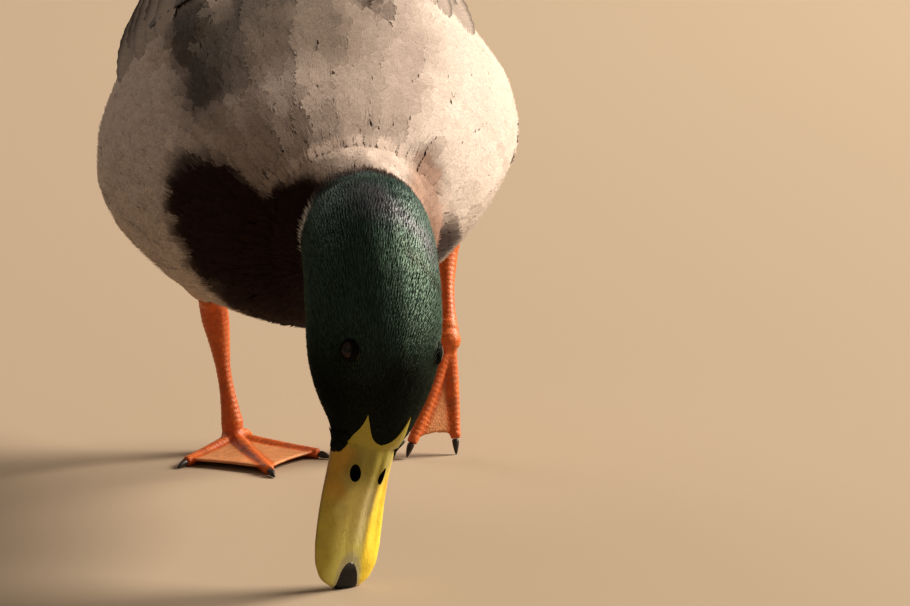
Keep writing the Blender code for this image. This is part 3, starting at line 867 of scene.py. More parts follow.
print("paths can be laid over", len(skin_faces), "faces")

# %% [markdown]
# ## The shape of a feather
# A contour feather is a broad vane, arched over its shaft, whose rim runs out in loose barbs. Cards
# with a cut-out picture are the usual shortcut, but have no edge of their own. vanes makes each one a
# thin closed solid with teeth along its rim, thousands at once as arrays.

# %% Vanes
ACROSS = np.array([-1, -0.5, 0, 0.5, 1.0])
FINE_STEPS = 40
NOTCH, JITTER, FULLNESS = 0.55, 0.4, 0.9


def vane_faces(rows):
    """Faces of one closed feather: rings of five points that end in a tip."""
    ring = len(ACROSS)
    last = ring * (rows - 1)
    faces = []
    for a in range(0, last, ring):
        faces += [(a + c, a + c + 1, a + c + ring + 1, a + c + ring) for c in range(ring - 1)]
        faces.append((a + ring - 1, a, a + ring, a + 2 * ring - 1))
    faces += [(last + c, last + c + 1, ring * rows) for c in range(ring - 1)]
    faces += [(last + ring - 1, last, ring * rows), (0, *range(ring - 1, 0, -1))]
    return [face[::-1] for face in faces]


def vanes(path, normal, widths, luck, rows=9, tooth=0.16, arch=0.22, slant=0.55, blunt=4.0,
          ridge=0.0, root=0.12, shoulder=2, sunk=0.0):
    """Arrays of points, layers and one list of faces for closed feathers with fringed rims."""
    n, ring = len(path), len(ACROSS)
    lengths = np.linalg.norm(np.diff(path, axis=1), axis=2).sum(1)
    edge = np.linspace(0.0, 1.0, rows + 1)
    wide = root + (1 - root) * np.minimum(edge * 2.2, 1) ** 0.6
    wide = wide * np.clip(1 - edge**blunt, 0, 1) ** 0.6
    reach = (widths / lengths)[:, None] * wide[None] * 0.5
    shaft = np.clip(edge[None] - slant * reach, 0, 1)
    shaft[:, -1] = 1.0
    points, layer_vane, layer_habit = (np.empty((n, ring * rows + 1, 3)) for _ in range(3))
    shares = np.linspace(0, 1, FINE_STEPS + 1)
    dense = along_path(path, shares)
    dense_normal = unit(along_path(normal, shares))
    dense_forward = unit(along_path(unit(np.gradient(path, axis=1)), shares))
    chosen = np.arange(n)
    for r in range(rows + 1):
        for c, column in enumerate(ACROSS):
            if r == rows and column != 0:
                continue
            s = shaft[:, r] + (edge[r] - shaft[:, r]) * abs(column)
            size = wide[r] * 0.5
            if abs(column) == 1.0 and 0 < r < rows:
                out = tooth if r % 2 else -tooth * NOTCH
                out = out + luck.uniform(-JITTER, JITTER, n) * tooth
                s = s + (0.9 if r % 2 else -0.2) * tooth / rows * 2
                size = size * (1 + out)
            f = np.clip(s, 0, 1) * FINE_STEPS
            i = np.minimum(f.astype(int), FINE_STEPS - 1)
            f = (f - i)[:, None]
            middle = dense[chosen, i] * (1 - f) + dense[chosen, i + 1] * f
            out_way = dense_normal[chosen, i]
            side = np.cross(out_way, dense_forward[chosen, i])
            across = widths * size * column
            lift = arch * widths * (0.5 * wide[r]) * (1 - sunk - column**shoulder) * FULLNESS
            if column == 0:
                lift = lift + ridge
            at = ring * r + c if r < rows else ring * rows
            points[:, at] = middle + side * across[:, None] + out_way * lift[:, None]
            layer_vane[:, at] = np.stack([across / MM, s * lengths / MM, np.zeros(n)], 1)
            layer_habit[:, at] = np.stack([s, np.full(n, column), np.zeros(n)], 1)
    chance = luck.random(n)
    layer_vane[:, :, 2] = chance[:, None] * 100
    layer_habit[:, :, 2] = chance[:, None]
    return points, layer_vane, layer_habit, vane_faces(rows)


print("a body feather has", len(vane_faces(11)), "faces")

# %% [markdown]
# ## Slivers
# Where feathers are so small or frayed that they read as strokes, each stroke is a closed sliver,
# three-sided and pointed: the coat of the head, the loose barbs of the trunk, the edge of the face.

# %% Slivers, and the colours along a feather
OWN_SHARE = 0.3


def spikes(path, normal, widths, luck, thick=0.35):
    """Fine closed slivers, three-sided and pointed, for strokes of every coat."""
    n = len(path)
    forward = unit(path[:, -1] - path[:, 0])
    points = np.empty((n, 7, 3))
    habit, vane = np.zeros((n, 7, 3)), np.zeros((n, 7, 3))
    for r, size in enumerate((0.3, 1.0)):
        middle, out_way = path[:, r], normal[:, r]
        side = np.cross(out_way, forward)
        for c, (across, lift) in enumerate(((-0.5, 0.0), (0.5, 0.0), (0.0, thick))):
            points[:, 3 * r + c] = (middle + side * (widths * across * size)[:, None]
                                    + out_way * (widths * lift * size)[:, None])
            habit[:, 3 * r + c, 0] = 0.5 * r
            habit[:, 3 * r + c, 1] = 2 * across
            vane[:, 3 * r + c, 0] = across
    points[:, 6] = path[:, -1]
    habit[:, 6, 0] = 1.0
    chance = luck.random(n)
    habit[:, :, 2] = chance[:, None]
    vane[:, :, 1] = habit[:, :, 0] * 3
    vane[:, :, 2] = chance[:, None] * 100
    faces = [(0, 3, 5, 2), (1, 2, 5, 4), (0, 1, 4, 3), (3, 6, 5), (5, 6, 4), (4, 6, 3), (0, 2, 1)]
    return points, vane, habit, faces


def colours_along(marks, habit, own):
    """Colours of each feather's points: its own, at one step, mixed with those that it crosses."""
    steps = marks.shape[1] - 1
    f = np.clip(habit[:, :, 0], 0, 1) * steps
    i = np.minimum(f.astype(int), steps - 1)
    f = (f - i)[..., None]
    rows = np.arange(len(marks))[:, None]
    crossed = marks[rows, i] * (1 - f) + marks[rows, i + 1] * f
    return crossed * (1 - OWN_SHARE) + marks[:, own][:, None] * OWN_SHARE


print("a feather's own colour counts for", OWN_SHARE)

# %% [markdown]
# ## A flat map of the feathers
# Every feather has a small patch on a flat map named OFBake: across is the way round the bird, up is
# the way from bill to tail. It holds the whole feather, so that its colours don't run into others.

# %% Turn feather arrays into a piece
PATCH = 0.003


def unwrapped(spots, flows):
    """Places on the flat map: the way round the bird, and the rank from bill to tail."""
    place, across, over, share = neck_places(spots)
    _, x, h = trunk_places(spots)
    near_neck = (share < 1.4) & (place < 100)
    turn = np.where(near_neck, np.arctan2(over, across), np.arctan2(h, x))
    rank = np.argsort(np.argsort(flows)) / max(len(flows) - 1, 1)
    return np.stack([0.01 + 0.98 * (turn / math.tau + 0.5), 0.01 + 0.98 * rank], 1)


def mesh_of_many(name, points, faces):
    """One mesh from n things with the same faces, and the corner numbers of all its faces."""
    n, count = points.shape[:2]
    loops = np.concatenate([np.array(f) for f in faces])
    sizes = np.tile([len(f) for f in faces], n)
    all_loops = (loops[None] + np.arange(n)[:, None] * count).ravel()
    data = bpy.data.meshes.new(name)
    data.vertices.add(n * count)
    data.vertices.foreach_set("co", points.astype(np.float32).ravel())
    data.loops.add(len(all_loops))
    data.loops.foreach_set("vertex_index", all_loops.astype(np.int32))
    data.polygons.add(len(sizes))
    data.polygons.foreach_set("loop_start", (np.cumsum(sizes) - sizes).astype(np.int32))
    data.update(calc_edges=True)
    data.validate()
    data.shade_smooth()
    return data, all_loops


def feather_piece(name, made, colours, where, finish, soft=None, softness=0.7, patch=PATCH):
    """One piece from feather arrays, with its layers and map; soft is the skin's normal at each."""
    points, vane, habit, faces = made
    n, count = points.shape[:2]
    data, all_loops = mesh_of_many(name, points, faces)
    if soft is not None:
        own = normals_of(data).reshape(n, count, 3)
        upward = np.where((own * soft[:, None]).sum(2, keepdims=True) < 0, -1, 1)
        blend = unit(own * upward * (1 - softness) + soft[:, None] * softness)
        data.normals_split_custom_set_from_vertices(blend.reshape(-1, 3).tolist())
    if colours.ndim == 2:
        colours = np.repeat(colours[:, None], count, axis=1)
    add_layer(data, "plumage", colours.reshape(-1, 4))
    vector_layer(data, "vane", vane.reshape(-1, 3))
    vector_layer(data, "habit", habit.reshape(-1, 3))
    on_patch = np.stack([habit[:, :, 1] * 0.5, habit[:, :, 0] - 0.5], 2)
    flat = (where[:, None] + on_patch * patch).reshape(-1, 2)
    bake_map = data.uv_layers.new(name="OFBake")
    bake_map.data.foreach_set("uv", flat[all_loops].astype(np.float32).ravel())
    piece = add_object(name, data)
    data.materials.append(finish)
    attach(piece, "root")
    print(f"{name}: {n} feathers, {sum(len(f) - 2 for f in faces) * n} triangles")
    return piece


# %% [markdown]
# ## Building blocks for the finishes
# All the finishes are made of the same few nodes, so each has a short helper, and a finish reads as a
# recipe. The shader's own numbers are set on its own sockets.

# %% Helpers for node trees
def link_or_set(tree, socket, value):
    """Link a socket to another, or set it to a number or a colour."""
    if isinstance(value, bpy.types.NodeSocket):
        tree.links.new(value, socket)
    elif value is not None:
        socket.default_value = value


def sums(tree, operation, *values):
    """A maths node; its inputs are numbers or sockets."""
    node = add_node(tree, "ShaderNodeMath", operation=operation)
    for socket, value in zip(node.inputs, values):
        link_or_set(tree, socket, value)
    return node.outputs["Value"]


def blend_colour(tree, factor, one, two, mode="MIX"):
    """A colour mix; factor and colours are values or sockets."""
    node = add_node(tree, "ShaderNodeMix", data_type="RGBA", blend_type=mode)
    for k, value in ((0, factor), (6, one), (7, two)):
        link_or_set(tree, node.inputs[k], value)
    return node.outputs[2]


def darkened(tree, colour, factor):
    """A colour times a darker one."""
    return blend_colour(tree, 1.0, colour, rgb(*factor), "MULTIPLY")


def read_layer(tree, name):
    return add_node(tree, "ShaderNodeAttribute", attribute_name=name)


def on_object(tree):
    """The place on the object, in metres."""
    return add_node(tree, "ShaderNodeTexCoord").outputs["Object"]


def noise_of(tree, vector, scale, detail=2.0):
    node = add_node(tree, "ShaderNodeTexNoise")
    set_sockets(node, Scale=scale, Detail=detail)
    tree.links.new(vector, node.inputs["Vector"])
    return node.outputs["Fac"]


def parts_of(tree, vector):
    """The three numbers of a vector."""
    node = add_node(tree, "ShaderNodeSeparateXYZ")
    tree.links.new(vector, node.inputs[0])
    return node.outputs


def between(tree, value, low, high, **settings):
    """0 where a value is low or less, and 1 where it is high or more."""
    node = add_node(tree, "ShaderNodeMapRange", **settings)
    set_sockets(node, From_Min=low, From_Max=high)
    tree.links.new(value, node.inputs["Value"])
    return node.outputs[0]


def paint_at_level(tree, shader, colour, level):
    """A colour times a brightness, as the base colour."""
    shade = add_node(tree, "ShaderNodeVectorMath", operation="SCALE")
    tree.links.new(colour, shade.inputs[0])
    tree.links.new(level, shade.inputs["Scale"])
    tree.links.new(shade.outputs[0], shader.inputs["Base Color"])


def add_relief(tree, shader, height, strength, depth=0.0003):
    """Bump from a height of 0 to 1, this deep in metres."""
    node = add_node(tree, "ShaderNodeBump")
    set_sockets(node, Strength=strength, Distance=depth)
    tree.links.new(height, node.inputs["Height"])
    tree.links.new(node.outputs[0], shader.inputs["Normal"])


def uneven_gloss(tree, shader, noise, swing, least):
    """Roughness that wanders up from its least value with a noise."""
    tree.links.new(sums(tree, "MULTIPLY_ADD", noise, swing, least), shader.inputs["Roughness"])


def new_group(name, inputs, outputs):
    """A shader node group with named sockets: inputs are (name, kind, starting value)."""
    group = bpy.data.node_groups.new(name, "ShaderNodeTree")
    for label, kind, start in inputs:
        socket = group.interface.new_socket(name=label, in_out="INPUT", socket_type=kind)
        if start is not None:
            socket.default_value = start
    for label in outputs:
        group.interface.new_socket(name=label, in_out="OUTPUT", socket_type="NodeSocketFloat")
    return group, group.nodes.new("NodeGroupInput"), group.nodes.new("NodeGroupOutput")


def use_group(tree, group, vane):
    node = add_node(tree, "ShaderNodeGroup", node_tree=group)
    tree.links.new(vane, node.inputs["Vane"])
    return node.outputs


print("materials so far:", len(bpy.data.materials))

# %% [markdown]
# ## The barbs of a vane
# Hundreds of barbs slant back from a feather's shaft, too fine to model. Every feather shares them,
# so they are a node group. It reads the vane layer, so the pattern sits on the feather.

# %% Node group for barbs
barb_streaks, given, out = new_group(
    "barb_streaks", [("Vane", "NodeSocketVector", None), ("Slant", "NodeSocketFloat", 1.1),
                     ("Fineness", "NodeSocketFloat", 1.6)], ("Mask", "Height"))
parts = parts_of(barb_streaks, given.outputs["Vane"])
off_shaft = sums(barb_streaks, "ABSOLUTE", parts["X"])
back = sums(barb_streaks, "MULTIPLY", off_shaft, given.outputs["Slant"])
barb = sums(barb_streaks, "SUBTRACT", parts["Y"], back)
barb = sums(barb_streaks, "MULTIPLY", barb, given.outputs["Fineness"])
stretched = add_node(barb_streaks, "ShaderNodeCombineXYZ")
for axis, value in (("X", barb), ("Y", sums(barb_streaks, "MULTIPLY", parts["X"], 0.18)),
                    ("Z", parts["Z"])):
    barb_streaks.links.new(value, stretched.inputs[axis])
streak = noise_of(barb_streaks, stretched.outputs[0], 1.0, 3.0)
barb_streaks.links.new(between(barb_streaks, streak, 0.3, 0.7), out.inputs["Mask"])
barb_streaks.links.new(streak, out.inputs["Height"])
print("group:", barb_streaks.name, len(barb_streaks.nodes), "nodes")

# %% [markdown]
# ## The fine bars of a drake's flank
# Each pale flank feather is pencilled across with thin wavy bars: a sine of the place along the
# feather, and a slow noise added to that place.

# %% Node group for bars
fine_bars, given, out = new_group(
    "fine_bars", [("Vane", "NodeSocketVector", None), ("Bars per mm", "NodeSocketFloat", 0.62)],
    ("Mask",))
wander = sums(fine_bars, "MULTIPLY", noise_of(fine_bars, given.outputs["Vane"], 0.35), 5.0)
shifted = sums(fine_bars, "ADD", parts_of(fine_bars, given.outputs["Vane"])["Y"], wander)
turns = sums(fine_bars, "MULTIPLY", shifted, given.outputs["Bars per mm"])
wave = sums(fine_bars, "SINE", sums(fine_bars, "MULTIPLY", turns, math.tau))
fine_bars.links.new(between(fine_bars, wave, 0.1, 0.8), out.inputs["Mask"])
print("group:", fine_bars.name, len(fine_bars.nodes), "nodes")

# %% [markdown]
# ## Finish of the body feathers
# Dull and soft: the plumage colour, darkened by the bars, streaked by the barbs, with a brightness of
# its own for each feather and a paler rim. A little sheen stands for down. Quills and black feathers
# are the same recipe with more gloss.

# %% Soft feather finish, and the skin's
def soft_feather(name, streak=0.16, fringe=0.08, roughness=0.78, sheen=0.05, bump=0.3, bars=0.5):
    """A dull feather: plumage colour, pencilled bars, barb streaks and a paler rim."""
    made, tree, shader = new_material(name)
    paint, vane, habit = (read_layer(tree, n) for n in ("plumage", "vane", "habit"))
    pencil = use_group(tree, fine_bars, vane.outputs["Vector"])
    barbs = use_group(tree, barb_streaks, vane.outputs["Vector"])
    strength = sums(tree, "MULTIPLY", paint.outputs["Alpha"], bars)
    share = sums(tree, "MULTIPLY", pencil["Mask"], strength)
    dark = darkened(tree, paint.outputs["Color"], (0.46, 0.43, 0.42))
    colour = blend_colour(tree, share, paint.outputs["Color"], dark)
    places = parts_of(tree, habit.outputs["Vector"])
    chance = sums(tree, "MULTIPLY_ADD", places["Z"], 0.10, 0.95)
    grain = sums(tree, "MULTIPLY_ADD", barbs["Mask"], streak * 2, 1 - streak)
    level = sums(tree, "MULTIPLY", chance, grain)
    rim = between(tree, places["X"], 0.72, 1.0, interpolation_type="SMOOTHSTEP")
    level = sums(tree, "MULTIPLY", level, sums(tree, "MULTIPLY_ADD", rim, fringe, 1.0))
    paint_at_level(tree, shader, colour, level)
    add_relief(tree, shader, barbs["Height"], bump)
    set_sockets(shader, Roughness=roughness, Sheen_Weight=sheen, Sheen_Roughness=0.5,
                Specular_IOR_Level=0.15)
    return made


body_finish = soft_feather("body_feather")
skin.data.materials.clear()
skin.data.materials.append(soft_feather("skin_down", streak=0.1, fringe=0.0, bump=0.1, bars=0.0))
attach(skin, "root")
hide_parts(*FLESH)
print("skin finish:", skin.data.materials[0].name)

# %% [markdown]
# ## The coat of the trunk
# The contour feathers are laid in one pass, small in front and larger behind, and split by region
# into pieces that export comfortably.

# %% Lay the body coat
BODY_SEED, BARB_SEED, HEAD_SEED, EDGE_SEED = 11, 31, 12, 17
STERN_FROM = 190


def coat_pieces(groups, made, spots, faces_under, under, own, softness, shadow=True):
    """Pieces of one coat: groups gives for each name the feathers chosen, a slot that is not used, and
    the finish.
    """
    marks = plumage(face_middle[under].reshape(-1, 3)).reshape(len(spots), -1, 4)
    marks = colours_along(marks, made[2], own)
    coat_map = unwrapped(spots, face_flow[faces_under])
    for name, (chosen, slot, finish) in groups.items():
        part = tuple(block[chosen] for block in made[:3]) + (made[3],)
        piece = feather_piece(name, part, marks[chosen], coat_map[chosen], finish,
                              face_normal[under[chosen, own]], softness)
        piece.visible_shadow = shadow


def trunk_groups(kind, u, x, front_to):
    """The four regions of a coat of the trunk, by the place of each root."""
    front, stern = u < front_to, u >= STERN_FROM
    return {f"{kind}_front": (front, "chestnut_feather", body_finish),
            f"{kind}_left": (~front & ~stern & (x >= 0), "grey_feather", body_finish),
            f"{kind}_right": (~front & ~stern & (x < 0), "grey_feather", body_finish),
            f"{kind}_stern": (stern, "black_feather", body_finish)}


u, x, h = trunk_places(face_middle)
place, _, _, share = neck_places(face_middle)
spacing = np.interp(u, (0, 30, 80, 250, 320), (2.9, 3.3, 4.2, 4.8, 4.4))
on_nape = np.interp(place, (80, 98, 130), (1.35, 1.9, 2.8))
spacing = np.where((share < 1.4) & (place < 130), on_nape, spacing)
spacing = near_legs(spacing, face_middle, (5, 50), (1.8, 3.6))
on_body = ~((share < 1.3) & (place < 82))
spots, faces_under = throw(spacing * MM, on_body, BODY_SEED)
gap = spacing[faces_under]
u, x, h = trunk_places(spots)
place, _, _, share = neck_places(spots)
n = len(spots)
luck = np.random.default_rng(BODY_SEED)
length = gap * np.interp(u, (0, 60, 120), (4.6, 5.4, 5.8)) * luck.uniform(0.8, 1.2, n) * MM
shorter = np.interp(place, (82, 98), (0.7, 1.0))
length = length * np.where((share < 1.3) & (place < 98), shorter, 1.0)
width = gap * 2.2 * luck.uniform(0.9, 1.1, n) * MM
depth = coat_depth(spots)
lifts = (depth * 0.08, depth * luck.uniform(0.80, 0.95, n))
yaw = luck.normal(0, 0.09, n)
path, normal, under = lay(spots, faces_under, length, lifts, 6, yaw, rise_power=0.38)
made = vanes(path, normal, width, luck, rows=11, tooth=0.24, arch=0.24, slant=0.9, blunt=2.6,
             shoulder=4, sunk=0.55)
coat_pieces(trunk_groups("coat", u, x, 62), made, spots, faces_under, under, 4, 0.9)
print("body feathers:", n)

# %% [markdown]
# ## Loose barbs over the vanes
# The vanes alone look like tiles. On a live bird the rims fray into loose barbs over the next
# feather, so fine slivers are laid all over the trunk, each in the colour of its place. Real barbs
# are far thinner and let the light through, so these cast no shadow.

# %% Slivers over the trunk
u = trunk_places(face_middle)[0]
spacing = np.interp(u, (0, 60, 120, 320), (1.15, 1.3, 1.5, 2.0)) * MM
spots, faces_under = throw(spacing, on_body, BARB_SEED)
luck = np.random.default_rng(BARB_SEED)
n = len(spots)
gap = spacing[faces_under]
depth = coat_depth(spots)
u, x, h = trunk_places(spots)
length = gap * luck.uniform(3.2, 5.0, n)
lifts = (depth * 0.55, depth * luck.uniform(0.97, 1.08, n))
yaw = luck.normal(0, 0.16, n)
path, normal, under = lay(spots, faces_under, length, lifts, 2, yaw, follow=0.6)
made = spikes(path, normal, gap * luck.uniform(0.26, 0.42, n), luck, thick=0.14)
coat_pieces(trunk_groups("barbs", u, x, 75), made, spots, faces_under, under, 1, 0.85, shadow=False)
print("loose barbs:", n)

# %% [markdown]
# ## The finish of the head
# The green of a drake's head is no pigment but a gloss, so the finish is half a metal, whose shine
# takes its colour from the feather itself. A plain green paint would look like felt.

# %% Head finish
head_finish, tree, shader = new_material("head_feather")
places = parts_of(tree, read_layer(tree, "habit").outputs["Vector"])
level = sums(tree, "MULTIPLY_ADD", places["Z"], 0.9, 0.55)
paint_at_level(tree, shader, read_layer(tree, "plumage").outputs["Color"], level)
set_sockets(shader, Metallic=0.38, Roughness=0.46, Specular_IOR_Level=0.48,
            Specular_Tint=rgb(0.92, 1.0, 0.84))
print("head finish:", head_finish.name)

# %% [markdown]
# ## The short coat of the head and neck
# On the head the feathers are so narrow that they read as strokes. Each root carries three slivers
# that fan out slightly. The white ring is part of this coat, with the dull finish of the body.

# %% Coat of the head
FAN = (-0.22, 0.0, 0.22)
eye_middles = {side: middle_of(f"eye_{side}") for side in SIDES}
place, _, _, share = neck_places(face_middle)
spacing = np.interp(place, (0, 15, 40, 90), (0.62, 0.74, 0.92, 1.10)) * MM
near_eye = np.min([np.linalg.norm(face_middle - m, axis=1) for m in eye_middles.values()], axis=0)
on_head = (share < 1.3) & (place < 93) & (near_eye > 4.6 * MM) & (place > 0.5)
spots, faces_under = throw(spacing, on_head, HEAD_SEED)
luck = np.random.default_rng(HEAD_SEED)
spots, faces_under = np.repeat(spots, len(FAN), axis=0), np.repeat(faces_under, len(FAN))
gap = spacing[faces_under]
n = len(spots)
side = np.cross(face_normal[faces_under], face_lie[faces_under])
yaw = np.tile(FAN, n // len(FAN)) + luck.normal(0, 0.10, n)
spots = spots + side * (np.sign(yaw) * gap * 0.28)[:, None]
length = gap * luck.uniform(2.6, 3.8, n)
down_neck = neck_places(spots)[0]
depth = np.minimum(coat_depth(spots), 1.35 * MM) * (1 + 0.6 * ramp(down_neck, 75, 78))
lifts = (-0.10 * MM * np.ones(n), depth * luck.uniform(0.5, 1.0, n))
path, normal, under = lay(spots, faces_under, length, lifts, 2, yaw, follow=0.6, rise_power=1.0)
made = spikes(path, normal, gap * luck.uniform(0.34, 0.5, n), luck)
bands_down = {"coat_face": (0, 36), "coat_crown": (36, 60), "coat_neck": (60, 76)}
groups = {name: ((down_neck >= start) & (down_neck < stop), "bottle_green_feather", head_finish)
          for name, (start, stop) in bands_down.items()}
groups["coat_ring"] = (down_neck >= 76, "white_feather", body_finish)
coat_pieces(groups, made, spots, faces_under, under, 1, 0.5)
print("slivers on head and neck:", n)

# %% [markdown]
# ## The sections of the bill
# A mallard's upper bill is one smooth horny sheath, nearly flat at the tip and keeled at the base,
# with two points of bare horn beside the forehead. arc draws one section, and horn_reach says how
# far past the base the bare horn runs at each angle.

# %% Sections of the bill
SEAM, HORN_ANGLE = 0.35, 29.0
UPPER_COLUMNS, PALATE_COLUMNS, HORN_RINGS = 180, 12, 14
seam_angle = math.asin(SEAM)
upper_angles = np.linspace(-seam_angle, math.pi + seam_angle, UPPER_COLUMNS)


def arc(table, place, angles, grow=0.0, crease=0.0):
    """Points of one section at these angles from its left edge, moved out by grow millimetres."""
    middle, left, up, (half, rise, drop) = frame_at(table, place)
    across, tall = np.cos(angles), np.sin(angles)
    height = np.where(tall > 0, rise + grow, drop + grow) * tall
    keel = (0.10 * np.exp(-(across / 0.22) ** 2) + 0.07 * np.exp(-((abs(across) - 0.40) / 0.13) ** 2)
            - 0.12 * np.exp(-((abs(across) - 0.74) / 0.17) ** 2))
    height = height + rise * keel * crease * (tall > 0)
    return middle + np.outer((half + grow) * across, left) + np.outer(height, up)


def horn_reach(angles):
    """How far past the bill's base the bare horn runs at each angle, in millimetres."""
    off_crown = abs((np.degrees(angles) - 90 + 180) % 360 - 180)
    inner = np.exp(-np.maximum(HORN_ANGLE - off_crown, 0) / 8.5)
    outer = np.exp(-np.maximum(off_crown - HORN_ANGLE, 0) / 13)
    return 0.7 + 10.0 * inner * outer - 5.0 * ramp(off_crown, 42, 74)


print("horn at the crown runs on", round(float(horn_reach(math.pi / 2)), 2), "mm")

# %% [markdown]
# ## Rings of the upper bill
# The sheath is lofted ring by ring. Past its base each column simply goes on over the head's own
# surface, as far as its point reaches, so that horns and sheath are one skin.

# %% Rings of the upper bill
def upper_ring(place):
    """One open ring of the sheath, with its creases and its thickened lip."""
    crease = float(ramp(place, 6, 18) * (1 - 0.5 * ramp(place, 44, 51)))
    lip = np.exp(-((np.abs(np.cos(upper_angles)) - 0.99) / 0.035) ** 2)[:, None]
    outwards = np.sign(np.cos(upper_angles))[:, None]
    return (arc(BILL, place, upper_angles, crease=crease)
            + frame_at(BILL, place)[1] * outwards * lip * 0.3)


def closed_below(ring, count):
    """A ring with this many points along a straight line from its end back to its start."""
    f = np.linspace(0, 1, count + 2)[1:-1, None]
    return np.vstack([ring, ring[-1] * (1 - f) + ring[0] * f])


def loft_faces(rings, columns, joined=False):
    """Faces of a tube of rings with this many points each, joined end to end or open."""
    return [(r * columns + c, r * columns + (c + 1) % columns,
             (r + 1) % rings * columns + (c + 1) % columns, (r + 1) % rings * columns + c)
            for r in range(rings if joined else rings - 1) for c in range(columns)]


bill_places = np.concatenate([[0.0, 0.35, 0.9, 1.7], np.linspace(2.6, BILL_BASE, 100)])
rings = [upper_ring(place) for place in bill_places]
reach = np.maximum(horn_reach(upper_angles), 0.7)
for k in range(1, HORN_RINGS + 2):
    share = min(k / HORN_RINGS, 1.0)
    sunk = 0.05 if k <= HORN_RINGS else -1.4
    rings.append(np.array([arc(NECK, 0.4 + r * share, np.array([t]), grow=sunk - 0.25 * share)[0]
                           for t, r in zip(upper_angles, reach)]))
closed = [closed_below(ring, PALATE_COLUMNS) for ring in rings]
columns = len(closed[0])
bill_points = on_board(np.vstack(closed))
bill_faces = [(b, a, d, c) for a, b, c, d in loft_faces(len(closed), columns)]
last_ring = range((len(closed) - 1) * columns, len(closed) * columns)
bill_faces += [tuple(range(columns)), tuple(reversed(last_ring))]
print("rings of the upper bill:", len(closed), "with", columns, "points each")

# %% [markdown]
# ## Cutting the nostrils, and the nail
# A duck's nostril is a slot through the sheath. A painted spot wouldn't let light in, so a Boolean
# cuts it with a long ball. The nail is the part of the same sheath that lies inside another ball.

# %% Upper bill, nostrils and nail
NOSTRIL_PLACE, NOSTRIL_ACROSS, NOSTRIL_RADII = 41.5, 0.46, (2.1, 6.8, 3.4)
NOSTRIL_DEPTH, NOSTRIL_TILT, NAIL_RADII = 2.6, 0.12, (4.1, 6.4, 11.2)


def fix_solid(piece):
    """Triangles with all their fronts outwards, as Booleans and exports want them."""
    work = bmesh.new()
    work.from_mesh(piece.data)
    bmesh.ops.triangulate(work, faces=[f for f in work.faces if len(f.verts) > 4])
    bmesh.ops.recalc_face_normals(work, faces=work.faces)
    work.to_mesh(piece.data)
    work.free()
    piece.data.shade_smooth()


def ball(name, middle, axes, radii, segments=48, rings=24):
    """A smooth ellipsoid with its middle on the board, for cutting."""
    work = bmesh.new()
    bmesh.ops.create_uvsphere(work, u_segments=segments, v_segments=rings, radius=1.0)
    shape = np.array([v.co for v in work.verts]) * radii
    for vert, at in zip(work.verts, on_board(middle + shape @ np.array(axes))):
        vert.co = at
    data = bpy.data.meshes.new(name)
    work.to_mesh(data)
    work.free()
    return add_object(name, data)


def combine(piece, tool, operation):
    """A Boolean of the piece with a tool, which is then thrown away."""
    cut = piece.modifiers.new("cut", "BOOLEAN")
    cut.operation, cut.object, cut.solver = operation, tool, "EXACT"
    apply_modifiers(piece)
    bpy.data.objects.remove(tool)


upper_bill = new_piece("bill_sheath", bill_points, bill_faces)
nail = new_piece("bill_nail_cap", bill_points, bill_faces)
for piece in (upper_bill, nail):
    fix_solid(piece)
tip, left, up, _ = frame_at(BILL, 0.5)
combine(nail, ball("nail_ball", tip, (left, up, np.cross(left, up)), NAIL_RADII), "INTERSECT")
nail.data.name = "bill_nail_cap"
middle, left, up, (half, rise, _) = frame_at(BILL, NOSTRIL_PLACE)
tilt = unit(np.cross(left, up) + NOSTRIL_TILT * up)
slots = []
for side in SIDES.values():
    mouth = left * side * half * NOSTRIL_ACROSS + up * rise * math.sqrt(1 - NOSTRIL_ACROSS**2)
    inward = unit(up - mouth)
    inward = unit(inward - tilt * inward.dot(tilt))
    axes = (np.cross(inward, tilt), inward, tilt)
    centre = middle + mouth + inward * NOSTRIL_DEPTH
    slots.append((centre, axes))
    combine(upper_bill, ball("nostril", centre, axes, NOSTRIL_RADII), "DIFFERENCE")
upper_bill.data.shade_smooth()
upper_bill.data.set_sharp_from_angle(angle=math.radians(38))
print("upper bill:", len(upper_bill.data.polygons), "faces; nail:", len(nail.data.polygons))

# %% [markdown]
# ## The lower bill
# A shallow trough that shuts just inside the upper bill, from the underside of the same sections, a
# hair smaller so that the seam shows as a line.

# %% Lower bill
lower_angles = np.linspace(math.pi + seam_angle + 0.04, math.tau - seam_angle - 0.04, 90)
LOWER_START, LOWER_END = 5.2, 51.4
lower_rings = []
for place in np.linspace(LOWER_START, LOWER_END, 80):
    grow = -0.15 - 0.9 * math.exp(-(place - LOWER_START) / 1.2)
    lower_rings.append(closed_below(arc(BILL, place, lower_angles, grow=grow), 24))
columns = len(lower_rings[0])
lower_faces = loft_faces(len(lower_rings), columns)
last_ring = range((len(lower_rings) - 1) * columns, len(lower_rings) * columns)
lower_faces += [tuple(range(columns)), tuple(last_ring)]
lower_bill = new_piece("bill_under", on_board(np.vstack(lower_rings)), lower_faces)
fix_solid(lower_bill)
print("lower bill:", len(lower_bill.data.polygons), "faces")

# %% [markdown]
# ## The comb of plates
# Between the two halves a comb of thin plates strains the duck's food. Each is a small box with
# slanting sides, drawn once and repeated along both edges.

